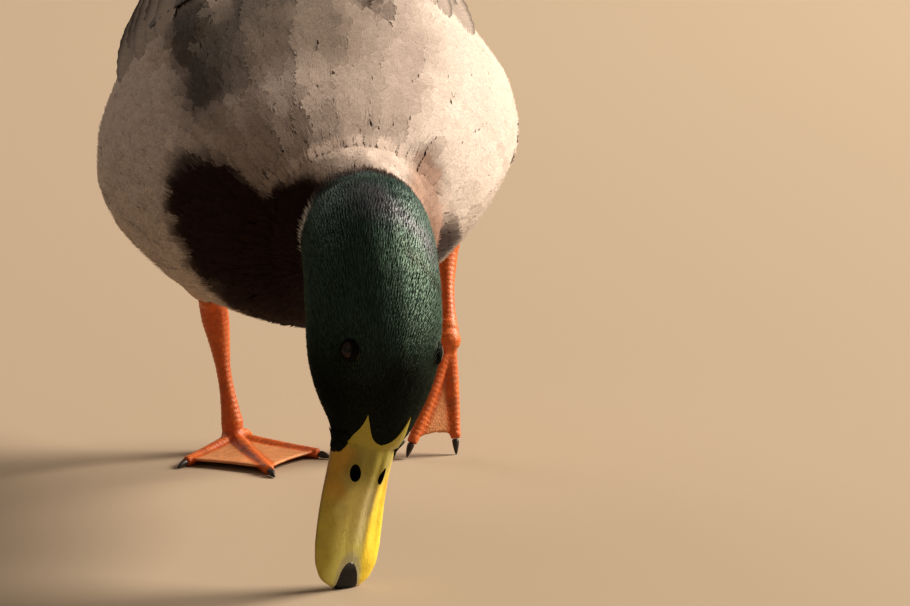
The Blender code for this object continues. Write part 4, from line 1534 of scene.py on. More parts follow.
# %% Comb of the bill
PLATE_EVERY, PLATE_HALF = 0.85, 0.16
PLATE_CORNERS = ((0.0, 0.5), (1.4, 0.5), (0.9, -0.75), (0.05, -0.55))
PLATE_FACES = ((3, 2, 1, 0), (4, 5, 6, 7), (0, 1, 5, 4), (1, 2, 6, 5), (2, 3, 7, 6), (3, 0, 4, 7))
plate_points, plate_faces = [], []
for side_angle in (-seam_angle, math.pi + seam_angle):
    for place in np.arange(9.0, 47.0, PLATE_EVERY):
        edge_point = arc(BILL, place, np.array([side_angle]), grow=-0.35)[0]
        _, left, up, _ = frame_at(BILL, place)
        inward = -left * np.sign(math.cos(side_angle))
        start = len(plate_points)
        plate_points += [edge_point + inward * in_by + up * up_by + np.cross(left, up) * along_by
                         for along_by in (-PLATE_HALF, PLATE_HALF)
                         for in_by, up_by in PLATE_CORNERS]
        plate_faces += [tuple(start + k for k in face) for face in PLATE_FACES]
comb = new_piece("bill_comb", on_board(plate_points), plate_faces, smooth=False)
fix_solid(comb)
comb.data.shade_flat()
print("comb plates:", len(plate_faces) // len(PLATE_FACES))

# %% [markdown]
# ## The colours of the bill
# Olive-yellow horn, orange at the sides of its base, greenish at the tip and grey over the nail, with
# painted light of clear yellow on its left side and painted shade on its right side and round the
# nostrils: rules of place again, because the borders follow the bill's shape.

# %% Rules for the bill's colours
HORN_LIT_YELLOW, HORN_OLIVE, HORN_ORANGE = (0.95, 0.70, 0.050), (0.72, 0.63, 0.20), (0.46, 0.21, 0.015)
HORN_GREEN, HORN_GREY, HORN_SHADED_SIDE = (0.80, 0.76, 0.23), (0.76, 0.68, 0.42), (0.42, 0.33, 0.025)
BASE_OLIVE, NAIL_RIM, LIP_BROWN = (0.27, 0.225, 0.030), (0.52, 0.50, 0.34), (0.16, 0.07, 0.02)
NAIL_BLACK, NAIL_HIGHLIGHT_GREY = (0.010, 0.010, 0.013), (0.12, 0.115, 0.125)
BASE_HALF, BASE_RISE = 11.6, 10.8
bill_steps = np.linspace(0, BILL_BASE, 103)
bill_frames = [frame_at(BILL, s) for s in bill_steps]
bill_middles = on_board([f[0] for f in bill_frames])
bill_lefts, bill_ups = (np.array([f[k] for f in bill_frames]) for k in (1, 2))


def bill_places_of(points):
    """Place along the bill, and offsets to its left and upper side, in millimetres."""
    nearest = np.argmin(((points[:, None] - bill_middles[None]) ** 2).sum(2), axis=1)
    away = (points - bill_middles[nearest]) / MM
    place = bill_steps[nearest]
    beyond = np.maximum(away @ unit(bill_middles[-1] - bill_middles[-8]), 0)
    place = np.where(nearest == len(bill_steps) - 1, place + beyond, place)
    return place, (away * bill_lefts[nearest]).sum(1), (away * bill_ups[nearest]).sum(1)


def under_feathers(place, across, over):
    """1 where the face's feathers run over the sheath, and 0 on the bare horn."""
    angle = np.arctan2(over / BASE_RISE, across / BASE_HALF)
    return ramp(place - BILL_BASE - horn_reach(angle), -0.3, 0.5) * (place < BILL_BASE + 0.2)


def bill_paint(points):
    """Colour of the horn at each point, from its place along, across and above the bill."""
    place, across, over = bill_places_of(points)
    lump, fleck = cloud(points, 0.006), cloud(points, 0.0018)
    side = abs(across) / 12
    colour = mixed(HORN_GREEN, HORN_OLIVE, ramp(place + 2 * lump, 12, 26))
    thin = np.exp(-((across - 2.0) / 2.6) ** 2) * ramp(place, 12, 20) * (1 - ramp(place, 34, 42))
    colour = mixed(colour, HORN_GREY, 0.6 * thin)
    ridge = ramp(place + 2 * lump, 33, 44) * (1 - ramp(side, 0.6, 0.95))
    colour = mixed(colour, BASE_OLIVE, 0.8 * ridge)
    # Darker olive on the bird's right side, as painted shade on the side away from the key lamp.
    colour = mixed(colour, HORN_SHADED_SIDE, 0.8 * ramp(-across + 1.2 * lump, 6.0, 9.5))
    # Clear yellow on the bird's left side only, as painted light on the side that faces the key lamp.
    clear = ramp(across + 0.8 * lump, 3.2, 5.6) * (1 - ramp(place, 36, 46))
    colour = mixed(colour, HORN_LIT_YELLOW, 0.9 * clear)
    blush = ramp(-across + 1.5 * lump, 4.5, 9) * ramp(place, 24, 36)
    colour = mixed(colour, HORN_ORANGE, 0.6 * blush * (1 - ramp(place, 48, 52)))
    blush = ramp(across + 1.5 * lump, 8, 11) * ramp(place, 24, 36) * (1 - ramp(place, 47, 52))
    colour = mixed(colour, HORN_ORANGE, 0.5 * blush)
    colour = mixed(colour, np.array(BASE_OLIVE) * 1.4, 0.9 * ramp(place, 49, 52))
    to_nail = np.sqrt((across / 5.0) ** 2 + (place / 13.0) ** 2)
    colour = mixed(colour, NAIL_RIM, 0.8 * (1 - ramp(to_nail, 0.85, 1.15)))
    # Darker olive round each nostril, as painted shade in the hollow of the slot.
    shade_round_slot = np.exp(-((place - NOSTRIL_PLACE) / 5.5) ** 2)
    shade_round_slot = shade_round_slot * np.exp(-((abs(across) - 5.5) / 2.6) ** 2)
    colour = mixed(colour, np.array(BASE_OLIVE) * 0.7, 0.6 * shade_round_slot)
    lip = ramp(side, 0.93, 0.99) * (1 - ramp(over, -0.5, 1.2))
    colour = mixed(colour, LIP_BROWN, 0.6 * lip)
    colour = mixed(colour, FACE_BLACK, under_feathers(place, across, over))
    return solid_paint(colour * (1 + 0.10 * lump + 0.07 * fleck)[:, None])


def solid_paint(colour):
    """Colours as rows of four for a layer, none past white or black."""
    return np.column_stack([np.clip(colour, 0, 1), np.ones(len(colour))])


print("bill ruler:", len(bill_steps), "steps")

# %% [markdown]
# ## The finish of the bill
# The shader adds what is too fine for the layer: flecks, pores, faint scratches along the bill, and a
# damp gloss. The nail is dark horn, and the walls of the nostrils are painted nearly black, as painted
# shade for the inside of the holes.

# %% Horn, nail and nostril finishes
horn_finish, tree, shader = new_material("bill_horn")
paint = read_layer(tree, "paint").outputs["Color"]
flecks = between(tree, noise_of(tree, on_object(tree), 900, 3.0), 0.60, 0.74)
fleck_share = sums(tree, "MULTIPLY", flecks, 0.35)
flecked = blend_colour(tree, fleck_share, paint, darkened(tree, paint, (0.45, 0.36, 0.30)))
tree.links.new(flecked, shader.inputs["Base Color"])
stretch = add_node(tree, "ShaderNodeMapping")
set_sockets(stretch, Scale=(1.0, 1.0, 0.16))
tree.links.new(on_object(tree), stretch.inputs["Vector"])
scratches = noise_of(tree, stretch.outputs[0], 1500)
pores = noise_of(tree, on_object(tree), 700)
uneven_gloss(tree, shader, scratches, 0.26, 0.15)
add_relief(tree, shader, sums(tree, "ADD", scratches, pores), 0.35)
set_sockets(shader, Specular_IOR_Level=0.45)

nail_finish, tree, shader = new_material("nail_horn")
tree.links.new(read_layer(tree, "paint").outputs["Color"], shader.inputs["Base Color"])
uneven_gloss(tree, shader, noise_of(tree, on_object(tree), 500, 3.0), 0.35, 0.12)

# The walls of the nostrils are painted nearly black, as painted shade for the inside of the holes.
slot_finish, tree, shader = new_material("nostril_wall")
shade_mottle = noise_of(tree, on_object(tree), 800)
tree.links.new(blend_colour(tree, shade_mottle, rgb(0.012, 0.009, 0.005), rgb(0.05, 0.035, 0.012)),
               shader.inputs["Base Color"])
set_sockets(shader, Roughness=0.8, Specular_IOR_Level=0.1)
print("bill finishes:", horn_finish.name, nail_finish.name)

# %% [markdown]
# ## Dressing the bill
# Every new piece needs a finish, the body it rides on and the nodes it stands for. The faces that the
# balls left behind, and those under the face's feathers, get the dark finish.

# %% Paint and dress the bill
def dress(piece, finish, replaced=()):
    """The lines every new piece needs: finish, body and the nodes it stands for."""
    piece.data.materials.clear()
    piece.data.materials.append(finish)
    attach(piece, "root")
    if replaced:
        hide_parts(*replaced)


def on_slot_wall(corners):
    """Whether all of a face's corners lie on one of the balls that cut the nostrils."""
    shapes = [(corners - centre) @ np.array(axes).T / NOSTRIL_RADII for centre, axes in slots]
    return any(np.all(abs((shape**2).sum(1) - 1) < 0.02) for shape in shapes)


cut_points = arrays_of(upper_bill.data)[0] / MM - BOARD
wall_faces = [face.index for face in upper_bill.data.polygons
              if on_slot_wall(cut_points[list(face.vertices)])]
for piece in (upper_bill, lower_bill, comb):
    points = on_floor(arrays_of(piece.data)[0])
    set_points(piece.data, points)
    add_layer(piece.data, "paint", bill_paint(points))
points = arrays_of(nail.data)[0]
place = bill_places_of(points)[0]
set_points(nail.data, on_floor(points + normals_of(nail.data) * 0.14 * MM))
# The nail is black, turning grey towards its back as a painted highlight.
add_layer(nail.data, "paint", solid_paint(mixed(NAIL_BLACK, NAIL_HIGHLIGHT_GREY, ramp(place, 5.5, 10.5))))
dress(upper_bill, horn_finish, ["bill_upper"])
upper_bill.data.materials.append(slot_finish)
face_spots = np.array([face.center for face in upper_bill.data.polygons])
wall_faces += np.flatnonzero(under_feathers(*bill_places_of(face_spots)) > 0.5).tolist()
for index in wall_faces:
    upper_bill.data.polygons[index].material_index = 1
dress(lower_bill, horn_finish, ["bill_lower"])
dress(comb, horn_finish)
dress(nail, nail_finish, ["bill_nail"])
print("dark faces of the bill:", len(wall_faces))

# %% [markdown]
# ## Feathers over the sides of the bill's base
# Below the horns the face's feathering runs forward over the bill. These slivers stand on the bill's
# own surface, so their paths are worked out from its sections.

# %% Slivers over the base of the bill
EDGE_THROWS = 5200
luck = np.random.default_rng(EDGE_SEED)
angles = luck.uniform(-seam_angle, math.pi + seam_angle, EDGE_THROWS)
starts = luck.uniform(-5.0, 1.2, EDGE_THROWS)
covered = starts > horn_reach(angles)
angles, starts = angles[covered], starts[covered]
lengths = luck.uniform(1.7, 2.6, len(starts))
path = np.empty((len(starts), 3, 3))
normal = np.empty_like(path)
for n, (angle, start, long) in enumerate(zip(angles, starts, lengths)):
    for k, lift in enumerate((-0.05, 0.28, 0.50)):
        place = start + long * k / 2
        table, at = (BILL, BILL_BASE + place) if place < 0 else (NECK, place)
        _, left, up, _ = frame_at(table, at)
        normal[n, k] = left * math.cos(angle) + up * math.sin(angle)
        path[n, k] = arc(table, at, np.array([angle]), grow=lift)[0]
path = on_board(path)
made = spikes(path, normal, luck.uniform(0.26, 0.38, len(starts)) * MM, luck)
marks = np.tile((*FACE_BLACK, 0.0), (len(starts), 1))
edge_map = unwrapped(path[:, 0], starts)
piece = feather_piece("coat_bill_edge", made, marks, edge_map, head_finish, normal[:, 1], 0.5)
print("slivers over the bill's base:", len(starts))

# %% [markdown]
# ## The finish of eyes and lids
# A duck's eye is a dark wet ball, smooth, with its colours in a layer. The lids are bare skin, almost
# black, with fine wrinkles as bump.

# %% Eye and lid finishes
eye_finish, tree, shader = new_material("wet_eye")
tree.links.new(read_layer(tree, "paint").outputs["Color"], shader.inputs["Base Color"])
set_sockets(shader, Roughness=0.08, Specular_IOR_Level=0.35)
lid_finish, tree, shader = new_material("lid_skin")
wrinkles = noise_of(tree, on_object(tree), 1600)
tree.links.new(blend_colour(tree, wrinkles, rgb(0.003, 0.003, 0.002), rgb(0.007, 0.006, 0.005)),
               shader.inputs["Base Color"])
add_relief(tree, shader, wrinkles, 0.5)
set_sockets(shader, Roughness=0.7, Specular_IOR_Level=0.1)
print("eye finishes:", eye_finish.name, lid_finish.name)

# %% [markdown]
# ## The eyes and their lids
# Only a small almond of the eye shows. Pupil and iris are told apart by the angle from the ball's
# outward axis. The lids are a raised rim, higher above than below, joined to the skin. A hole cut in
# the skin would leave a hard edge instead.

# %% Shape the eyes and lids
VISUAL_EYE, EYE_SUNK, PUPIL_ANGLE, OPENING = 4.9, 1.15, 0.30, 0.52
PUPIL_BLACK, IRIS_BROWN = (0.003, 0.003, 0.003), (0.030, 0.010, 0.0045)
LID_PROFILE = ((-0.02, 0.02), (0.0, 0.16), (0.05, 0.28), (0.12, 0.32), (0.20, 0.28), (0.32, 0.16),
               (0.58, -0.5))
eye_turns = np.linspace(0, math.tau, 64, endpoint=False)
eye_angles = np.concatenate([[0.0], np.linspace(0.06, 1.25, 26)])
middle, left, up, (half, rise, _) = frame_at(NECK, EYE_PLACE)
down_neck = np.cross(left, up)


def eye_colour(angle, turn):
    """Black pupil, brown iris with faint spokes, and painted shade where the lids cover it."""
    ring = float(ramp(angle, PUPIL_ANGLE - 0.03, PUPIL_ANGLE + 0.03))
    spoke = 0.5 + 0.5 * math.sin(turn * 23 + 3 * math.sin(turn * 5))
    # The iris darkens towards its rim, as painted shade under the lids.
    iris = np.array(IRIS_BROWN) * (0.7 + 0.5 * spoke) * (1 - 0.7 * float(ramp(angle, 0.52, 0.7)))
    return [*(np.array(PUPIL_BLACK) * (1 - ring) + iris * ring), 1.0]


def on_eye(centre, axes, angle, turn, reach):
    """The point at an angle from the outward axis and a turn round it, this far from the centre."""
    outward, forward, upward = axes
    flat = math.cos(turn) * forward + math.sin(turn) * upward
    return centre + reach * (outward * math.cos(angle) + flat * math.sin(angle))


def lid_point(centre, axes, more, proud, turn):
    """A point of the lids' rim: more is how far out from the opening, proud how high it stands."""
    corner = abs(math.cos(turn)) ** 4
    brow = 0.5 + 0.5 * math.sin(turn)
    angle = OPENING * (0.92 + 0.36 * corner - 0.16 * brow) + more * (1 + 0.5 * brow)
    return on_eye(centre, axes, angle, turn, VISUAL_EYE + proud * (0.8 + 0.7 * brow))


def welded(piece):
    """The piece with the many points at its pole made one, and its fronts outwards."""
    work = bmesh.new()
    work.from_mesh(piece.data)
    bmesh.ops.remove_doubles(work, verts=work.verts, dist=1e-7)
    bmesh.ops.recalc_face_normals(work, faces=work.faces)
    work.to_mesh(piece.data)
    work.free()


lids = []
for side_name, way in SIDES.items():
    slope = math.sqrt(1 - (EYE_HEIGHT / rise) ** 2)
    outward = unit(left * way * slope / half + up * (EYE_HEIGHT / rise) / rise)
    forward = unit(down_neck - outward * outward.dot(down_neck))
    upward = np.cross(forward, outward) * -way
    axes = (outward, forward, upward if upward.dot(up) >= 0 else -upward)
    centre = (eye_middles[side_name] / MM) - BOARD - outward * EYE_SUNK
    points = [on_eye(centre, axes, angle, turn, VISUAL_EYE)
              for angle in eye_angles for turn in eye_turns]
    columns, rows = len(eye_turns), len(eye_angles)
    faces = loft_faces(rows, columns) + [tuple(range((rows - 1) * columns, rows * columns))]
    eye = new_piece(f"eyeball_{side_name}", on_board(points), faces)
    add_layer(eye.data, "paint", [eye_colour(angle, turn)
                                     for angle in eye_angles for turn in eye_turns])
    welded(eye)
    dress(eye, eye_finish, [f"eye_{side_name}"])
    points = [lid_point(centre, axes, more, proud, turn)
              for more, proud in LID_PROFILE for turn in eye_turns]
    lid = new_piece(f"lid_{side_name}", on_board(points),
                    loft_faces(len(LID_PROFILE), columns, joined=True))
    fix_solid(lid)
    lid.data.materials.append(lid_finish)
    lids.append(lid)
with bpy.context.temp_override(active_object=skin, selected_editable_objects=[skin, *lids]):
    bpy.ops.object.join()
print("lids joined to the skin:", len(skin.data.polygons), "faces")

# %% [markdown]
# ## The lines of the legs
# A duck's legs are one skin of small scales with broader plates along shank and toes, and thin webs
# between the toes. Colours and plates follow bent lines from the ankle along each toe and up to the
# knee, in millimetres on the board.

# %% Ankles, toes and knees
ANKLES = {"right": (-29.8, 204.5, 5.1), "left": (57, 200.5, 45)}
ANKLE_RADII = {"right": 5.3, "left": 3.9}
TOES = {
    "right": {"outer": ((-40.5, 192.5, 2.7), (-50, 180.5, 1.9)),
              "middle": ((-23.5, 183, 3), (-17.6, 162.5, 1.9)),
              "inner": ((-12, 197, 2.7), (3.4, 188.5, 1.9)),
              "hind": ((-25.5, 211.5, 6), (-23, 217.5, 3.2))},
    "left": {"outer": ((58.5, 197, 25), (59, 190.5, 6.5)),
             "middle": ((50, 194, 25), (40.8, 185, 6.5)),
             "inner": ((47.5, 201, 31), (37.5, 200.5, 17)),
             "hind": ((55.5, 207.5, 42.5), (53, 211.5, 35.5))},
}
KNEES = {"right": (-38, 211.8, 65.4), "left": (58.6, 224, 83)}


def along_line(points, line):
    """Share along a bent line, and distance from it, for each point."""
    best, share, covered = np.full(len(points), FAR_AWAY), np.zeros(len(points)), 0.0
    for a, b in zip(line, line[1:]):
        step = b - a
        t = np.clip(((points - a) @ step) / (step @ step), 0, 1)
        gap = np.linalg.norm(points - a - t[:, None] * step, axis=1)
        nearer = gap < best
        best[nearer] = gap[nearer]
        share[nearer] = (covered + t * np.linalg.norm(step))[nearer]
        covered += np.linalg.norm(step)
    return share, best


print("toes:", sum(len(toes) for toes in TOES.values()))

# %% [markdown]
# ## The colours of the legs
# Deep orange with redder clouds, paler webs because light comes through, duskier joints. Each point
# takes its colour from the nearest line, which also gives the ripple for the plates.

# %% Rules for the legs' colours
LEG_ORANGE, LEG_RED, WEB_PALE = (0.62, 0.135, 0.013), (0.48, 0.072, 0.010), (0.70, 0.34, 0.15)
JOINT_DUSK, JOINT_PLACES = (0.30, 0.085, 0.035), (0.40, 0.66)


def leg_paint(points, side):
    """Colour and plate ripple of a leg: toes and shank deep orange, webs paler, joints duskier."""
    ankle = on_board(ANKLES[side])
    toe_gap = np.full(len(points), FAR_AWAY)
    ripple, joints = np.zeros(len(points)), np.zeros(len(points))
    for toe in TOES[side].values():
        line = [ankle, *on_board(toe)]
        far, gap = along_line(points, line)
        nearer = gap < toe_gap
        toe_gap[nearer] = gap[nearer]
        ripple[nearer] = far[nearer]
        whole = sum(np.linalg.norm(b - a) for a, b in zip(line, line[1:]))
        for part in JOINT_PLACES:
            at_joint = np.exp(-((far - part * whole) / 0.0016) ** 2) * (gap < 0.0036)
            joints = np.maximum(joints, at_joint)
    shank_far, shank_gap = along_line(points, [ankle, on_board(KNEES[side])])
    on_shank = (points[:, 2] > ankle[2] + 0.003) & (shank_gap < 0.012)
    ripple = np.where(on_shank, shank_far, ripple)
    lump, speck = cloud(points, 0.007), cloud(points, 0.0016)
    colour = mixed(LEG_ORANGE, LEG_RED, ramp(lump, -0.2, 0.7) * 0.6)
    off_ankle = np.linalg.norm(points - ankle, axis=1)
    web = ramp(toe_gap, 0.0030, 0.0052) * ramp(off_ankle, 0.006, 0.009) * ~on_shank
    colour = mixed(colour, WEB_PALE, web * 0.8)
    colour = mixed(colour, JOINT_DUSK, np.clip(joints, 0, 1) * 0.30)
    colour = colour * (1 + 0.16 * speck + 0.10 * lump)[:, None]
    return np.column_stack([np.clip(colour, 0, 1), web]), ripple, web, on_shank


print("leg colours for", len(ANKLES), "legs")

# %% [markdown]
# ## The skin of the legs
# The scales are too small to model, so a pattern of cells gives their edges, darker and lower. A
# dusty tone wanders over them, and a little light passes under the skin.

# %% Leg finish
leg_finish, tree, shader = new_material("leg_skin")
paint = read_layer(tree, "paint").outputs["Color"]
scales = add_node(tree, "ShaderNodeTexVoronoi", feature="DISTANCE_TO_EDGE")
set_sockets(scales, Scale=780)
tree.links.new(on_object(tree), scales.inputs["Vector"])
creases = between(tree, scales.outputs["Distance"], 0.0, 0.16)
crease_share = sums(tree, "MULTIPLY_ADD", creases, -0.28, 0.28)
scaled = blend_colour(tree, crease_share, paint, darkened(tree, paint, (0.60, 0.50, 0.46)))
worn = noise_of(tree, on_object(tree), 260, 4.0)
dusty = blend_colour(tree, sums(tree, "MULTIPLY", worn, 0.10), scaled, rgb(0.52, 0.36, 0.24))
tree.links.new(dusty, shader.inputs["Base Color"])
uneven_gloss(tree, shader, worn, 0.3, 0.34)
add_relief(tree, shader, creases, 0.22, 0.0004)
set_sockets(shader, Subsurface_Weight=0.12, Subsurface_Radius=(1.0, 0.3, 0.1),
            Subsurface_Scale=0.002)
print("leg finish:", leg_finish.name)

# %% [markdown]
# ## Legs as one skin each
# Shank and foot are remeshed together with three balls that round ankle and knee, so that a joint is
# flesh and not a gap. Then the plates are raised a few hundredths of a millimetre.

# %% Shape the legs
LEG_SWELL, LEG_GRAIN = 0.00012, 0.00062
PLATE_LENGTH, PLATE_RISE = 0.0021, 0.00006
for side in SIDES:
    ankle, knee = np.array(ANKLES[side]), np.array(KNEES[side])
    balls = [ball(f"{name}_{side}", at, np.eye(3), radii, 24, 12) for name, at, radii in (
        ("ankle", ankle, (ANKLE_RADII[side],) * 3),
        ("filler", ankle + unit(knee - ankle) * 4.5, (4.3, 4.3, 5.5)),
        ("knee", knee - (0, 1.0, 2.0), (5.6, 5.6, 6.4)))]
    solids = [nodes[f"shank_{side}"], nodes[f"foot_{side}"], *balls]
    leg = remeshed(f"leg_skin_{side}", [solid.data for solid in solids],
                   [LEG_SWELL] * len(solids), LEG_GRAIN)
    for tool in balls:
        bpy.data.objects.remove(tool)
    points = smoothed(arrays_of(leg.data)[0], edges_of(leg.data), 30)
    set_points(leg.data, points)
    colours, ripple, web, on_shank = leg_paint(points, side)
    plates = np.clip(np.sin(ripple / PLATE_LENGTH * math.tau) * 1.8, -1, 1) * PLATE_RISE * (1 - web)
    behind_shank = on_shank & (normals_of(leg.data)[:, 1] > 0.1)
    plates = np.where(behind_shank, plates * 0.2, plates)
    set_points(leg.data, on_floor(points + normals_of(leg.data) * plates[:, None]))
    leg.data.shade_smooth()
    add_layer(leg.data, "paint", colours)
    dress(leg, leg_finish, [f"shank_{side}", f"foot_{side}"])
    print(leg.name, len(leg.data.polygons), "faces")

# %% [markdown]
# ## The claws
# The frame's own shapes, rounded off by subdivision. Claws that walk on stones are scuffed, so the
# horn goes from black to a dusty brown.

# %% Claws
CLAW_ROUNDING = 2
claw_finish, tree, shader = new_material("claw_horn")
worn = noise_of(tree, on_object(tree), 420, 4.0)
tree.links.new(blend_colour(tree, worn, rgb(0.006, 0.006, 0.006), rgb(0.055, 0.042, 0.034)),
               shader.inputs["Base Color"])
uneven_gloss(tree, shader, worn, 0.4, 0.2)
claw_names = sorted(n for n in nodes if n.startswith("claw_"))
for name in claw_names:
    claw = new_piece(name.replace("claw_", "claw_horn_"), *swollen(nodes[name].data, 0.0))
    rounder = claw.modifiers.new("rounder", "SUBSURF")
    rounder.levels = CLAW_ROUNDING
    apply_modifiers(claw)
    claw.data.shade_smooth()
    set_points(claw.data, on_floor(arrays_of(claw.data)[0]))
    dress(claw, claw_finish, [name])
print("claws:", len(claw_names))

# %% [markdown]
# ## The folded wings and the tail as surfaces
# Large feathers are drawn one by one along the sections of wing and tail. A row of a table says:
# place along the trunk, sideways, height, half breadth, thickness, and how far it faces outwards and
# upwards.

# %% Surfaces of the folded wing and tail
WING = np.array([
    (74, 44, 38, 3, 1.5, 0.56, 0.83), (84, 45, 40.5, 12, 3.2, 0.56, 0.83),
    (100, 46, 43, 18, 4.6, 0.56, 0.83), (132, 44, 44.5, 20, 5, 0.55, 0.84),
    (168, 38.5, 44.5, 21, 5, 0.55, 0.84), (204, 33.5, 42, 18.5, 5, 0.56, 0.83),
    (236, 29.5, 38, 14.5, 4.2, 0.56, 0.83), (262, 24.5, 33, 8, 3, 0.54, 0.84),
    (272, 22.5, 31, 3, 1.6, 0.54, 0.84),
])
TERTIALS = np.array([
    (172, 30, 53, 4, 1.5, 0.34, 0.94), (186, 29.5, 53.5, 12, 3.5, 0.34, 0.94),
    (222, 25.5, 49.5, 14, 4, 0.36, 0.93), (254, 20.5, 43, 11, 3.2, 0.38, 0.92),
    (280, 16.5, 36, 6, 2, 0.40, 0.91), (294, 14.5, 31.5, 2, 0.9, 0.40, 0.91),
])
PRIMARIES = np.array([
    (236, 37, 27.5, 5, 2, 0.60, 0.80), (250, 32.5, 27.5, 9, 2.6, 0.55, 0.83),
    (272, 26, 26, 9, 2.6, 0.45, 0.89), (296, 20.5, 23.5, 7.5, 2.2, 0.38, 0.92),
    (320, 16, 20.5, 5, 1.6, 0.32, 0.95), (340, 13.5, 18, 1.8, 0.8, 0.30, 0.95),
])
TAIL = np.array([
    (286, 0, 3.5, 17, 4.6, 0, 1), (300, 0, 2.5, 22, 4, 0, 1), (320, 0, 0.5, 27, 2.8, 0, 1),
    (345, 0, -3, 30, 1.8, 0, 1), (362, 0, -5.5, 25, 1.2, 0, 1), (371, 0, -7, 14, 0.8, 0, 1),
    (375, 0, -7.6, 4, 0.6, 0, 1),
])


def on_surface(table, side, u, w, proud):
    """Point and normal on a folded layer: u along it, w from its lower to its upper rim."""
    x, h, half, thick, out, up = [np.interp(u, table[:, 0], table[:, k]) for k in range(1, 7)]
    face = unit(LEFT * side * out + ABOVE * up)
    breadth = unit(np.cross(face, ALONG)) * -side
    round_off = math.sqrt(max(1 - min(abs(w), 1) ** 2, 0))
    middle = on_trunk(u, side * x, h)
    return middle + breadth * half * w * MM + face * (thick * round_off + proud) * MM, face


print("middle of the left wing at", np.round(on_surface(WING, 1, 168, 0, 0)[0], 3))

# %% [markdown]
# ## Rows of long feathers
# quill_row makes a row on any of those surfaces: each feather has where it starts and ends along and
# across the layer, its width, and how proud it stands. One function does the whole wing and tail.

# %% Make a row
QUILL_STEPS, QUILL_SEED = 10, 31


def quill_row(name, slot, table, side, feathers, paint, finish, **shape):
    """A row of long feathers; each is (start u, end u, start w, end w, width, start and end proud)."""
    path = np.empty((len(feathers), QUILL_STEPS + 1, 3))
    normal = np.empty((len(feathers), QUILL_STEPS + 1, 3))
    for n, (u0, u1, w0, w1, _, proud0, proud1) in enumerate(feathers):
        for k in range(QUILL_STEPS + 1):
            f = k / QUILL_STEPS
            path[n, k], normal[n, k] = on_surface(table, side, u0 + (u1 - u0) * f,
                                                  w0 + (w1 - w0) * f, proud0 + (proud1 - proud0) * f)
    feathers = np.array(feathers)
    luck = np.random.default_rng(len(name) + QUILL_SEED)
    made = vanes(path, normal, feathers[:, 4] * MM, luck, **shape)
    habit = made[2]
    colours = np.concatenate([paint(habit[..., 0], habit[..., 1]),
                              np.zeros(habit.shape[:2] + (1,))], axis=2)
    starts, turns = feathers[:, 0], feathers[:, 2]
    down = (starts - starts.min()) / max(np.ptp(starts), 1)
    where = np.stack([0.05 + 0.45 * (turns + 1), 0.1 + 0.8 * down], 1)
    gaps = np.abs(where[:, None] - where[None]).max(2)
    patch = min(0.05, 0.8 * gaps[gaps > 1e-6].min())
    piece = feather_piece(name, made, colours, where, finish, normal[:, 6], 0.55, patch)
    return piece


print("each long feather follows", QUILL_STEPS + 1, "points")

# %% [markdown]
# ## The patterns of the long feathers
# Greater coverts end in a white and a black bar, the secondaries carry the blue speculum between two
# such bars, and brown feathers have a paler edge. A pattern is a small function of the share along
# the feather and the side of its shaft.

# %% Finishes and patterns
quill_finish = soft_feather("quill_feather", streak=0.14, fringe=0.0, roughness=0.55, sheen=0.0,
                            bump=0.5)
speculum_finish = soft_feather("speculum_feather", streak=0.2, fringe=0.0, roughness=0.35,
                               sheen=0.0, bump=0.5)
set_sockets(speculum_finish.node_tree.nodes["Principled BSDF"], Metallic=0.45)
GREY_BROWN, PALE_EDGE, DARK_BROWN = (0.115, 0.090, 0.074), (0.30, 0.26, 0.22), (0.040, 0.032, 0.027)
BLUE, BAR_BLACK, BAR_WHITE = (0.030, 0.042, 0.19), (0.012, 0.012, 0.013), (0.80, 0.78, 0.75)
SIDE_GREY, SCAPULAR, TAIL_WHITE = (0.40, 0.335, 0.30), (0.37, 0.305, 0.265), (0.74, 0.71, 0.67)


def edged(one, two, share):
    """One colour going over to another by a share at each point of each feather."""
    return np.array(one) * (1 - share[..., None]) + np.array(two) * share[..., None]


def bands(s, *stops):
    """Colour along a feather from (share, colour) stops, with short blends between them."""
    places, colours = zip(*stops)
    return np.stack([np.interp(s, places, channel) for channel in zip(*colours)], axis=-1)


def lesser_feather(s, column):
    return edged(SIDE_GREY, np.array(SIDE_GREY) * 1.25,
                 ramp(abs(column), 0.5, 1.0) * ramp(s, 0.5, 0.9))


def brown_feather(s, column):
    return edged(GREY_BROWN, PALE_EDGE, np.maximum(ramp(abs(column), 0.55, 1.0), ramp(s, 0.86, 1.0)))


def covert_feather(s, _):
    return bands(s, (0.0, GREY_BROWN), (0.74, GREY_BROWN), (0.78, BAR_WHITE), (0.88, BAR_WHITE),
                 (0.91, BAR_BLACK), (1.0, BAR_BLACK))


def speculum_feather(s, _):
    return bands(s, (0.0, DARK_BROWN), (0.3, BLUE), (0.78, BLUE), (0.81, BAR_BLACK),
                 (0.88, BAR_BLACK), (0.91, BAR_WHITE), (1.0, BAR_WHITE))


def primary_feather(_, column):
    return edged(DARK_BROWN, GREY_BROWN, ramp(abs(column), 0.7, 1.0))


def scapular_feather(s, column):
    return edged(SCAPULAR, np.array(GREY_BROWN) * 1.2, ramp(column, 0.1, 0.9) * ramp(s, 0.2, 0.6))


def tail_feather(s, column):
    middle = (1 - ramp(abs(column), 0.25, 0.8)) * (1 - ramp(s, 0.8, 1.0))
    return edged(TAIL_WHITE, GREY_BROWN, 0.55 * middle)


print("long feather finishes:", quill_finish.name, speculum_finish.name)

# %% [markdown]
# ## The wings, row by row
# Each row starts further forward than it shows, and the row in front covers its roots: primaries
# lowest, then secondaries, coverts, tertials over the back, and scapulars over all of that.

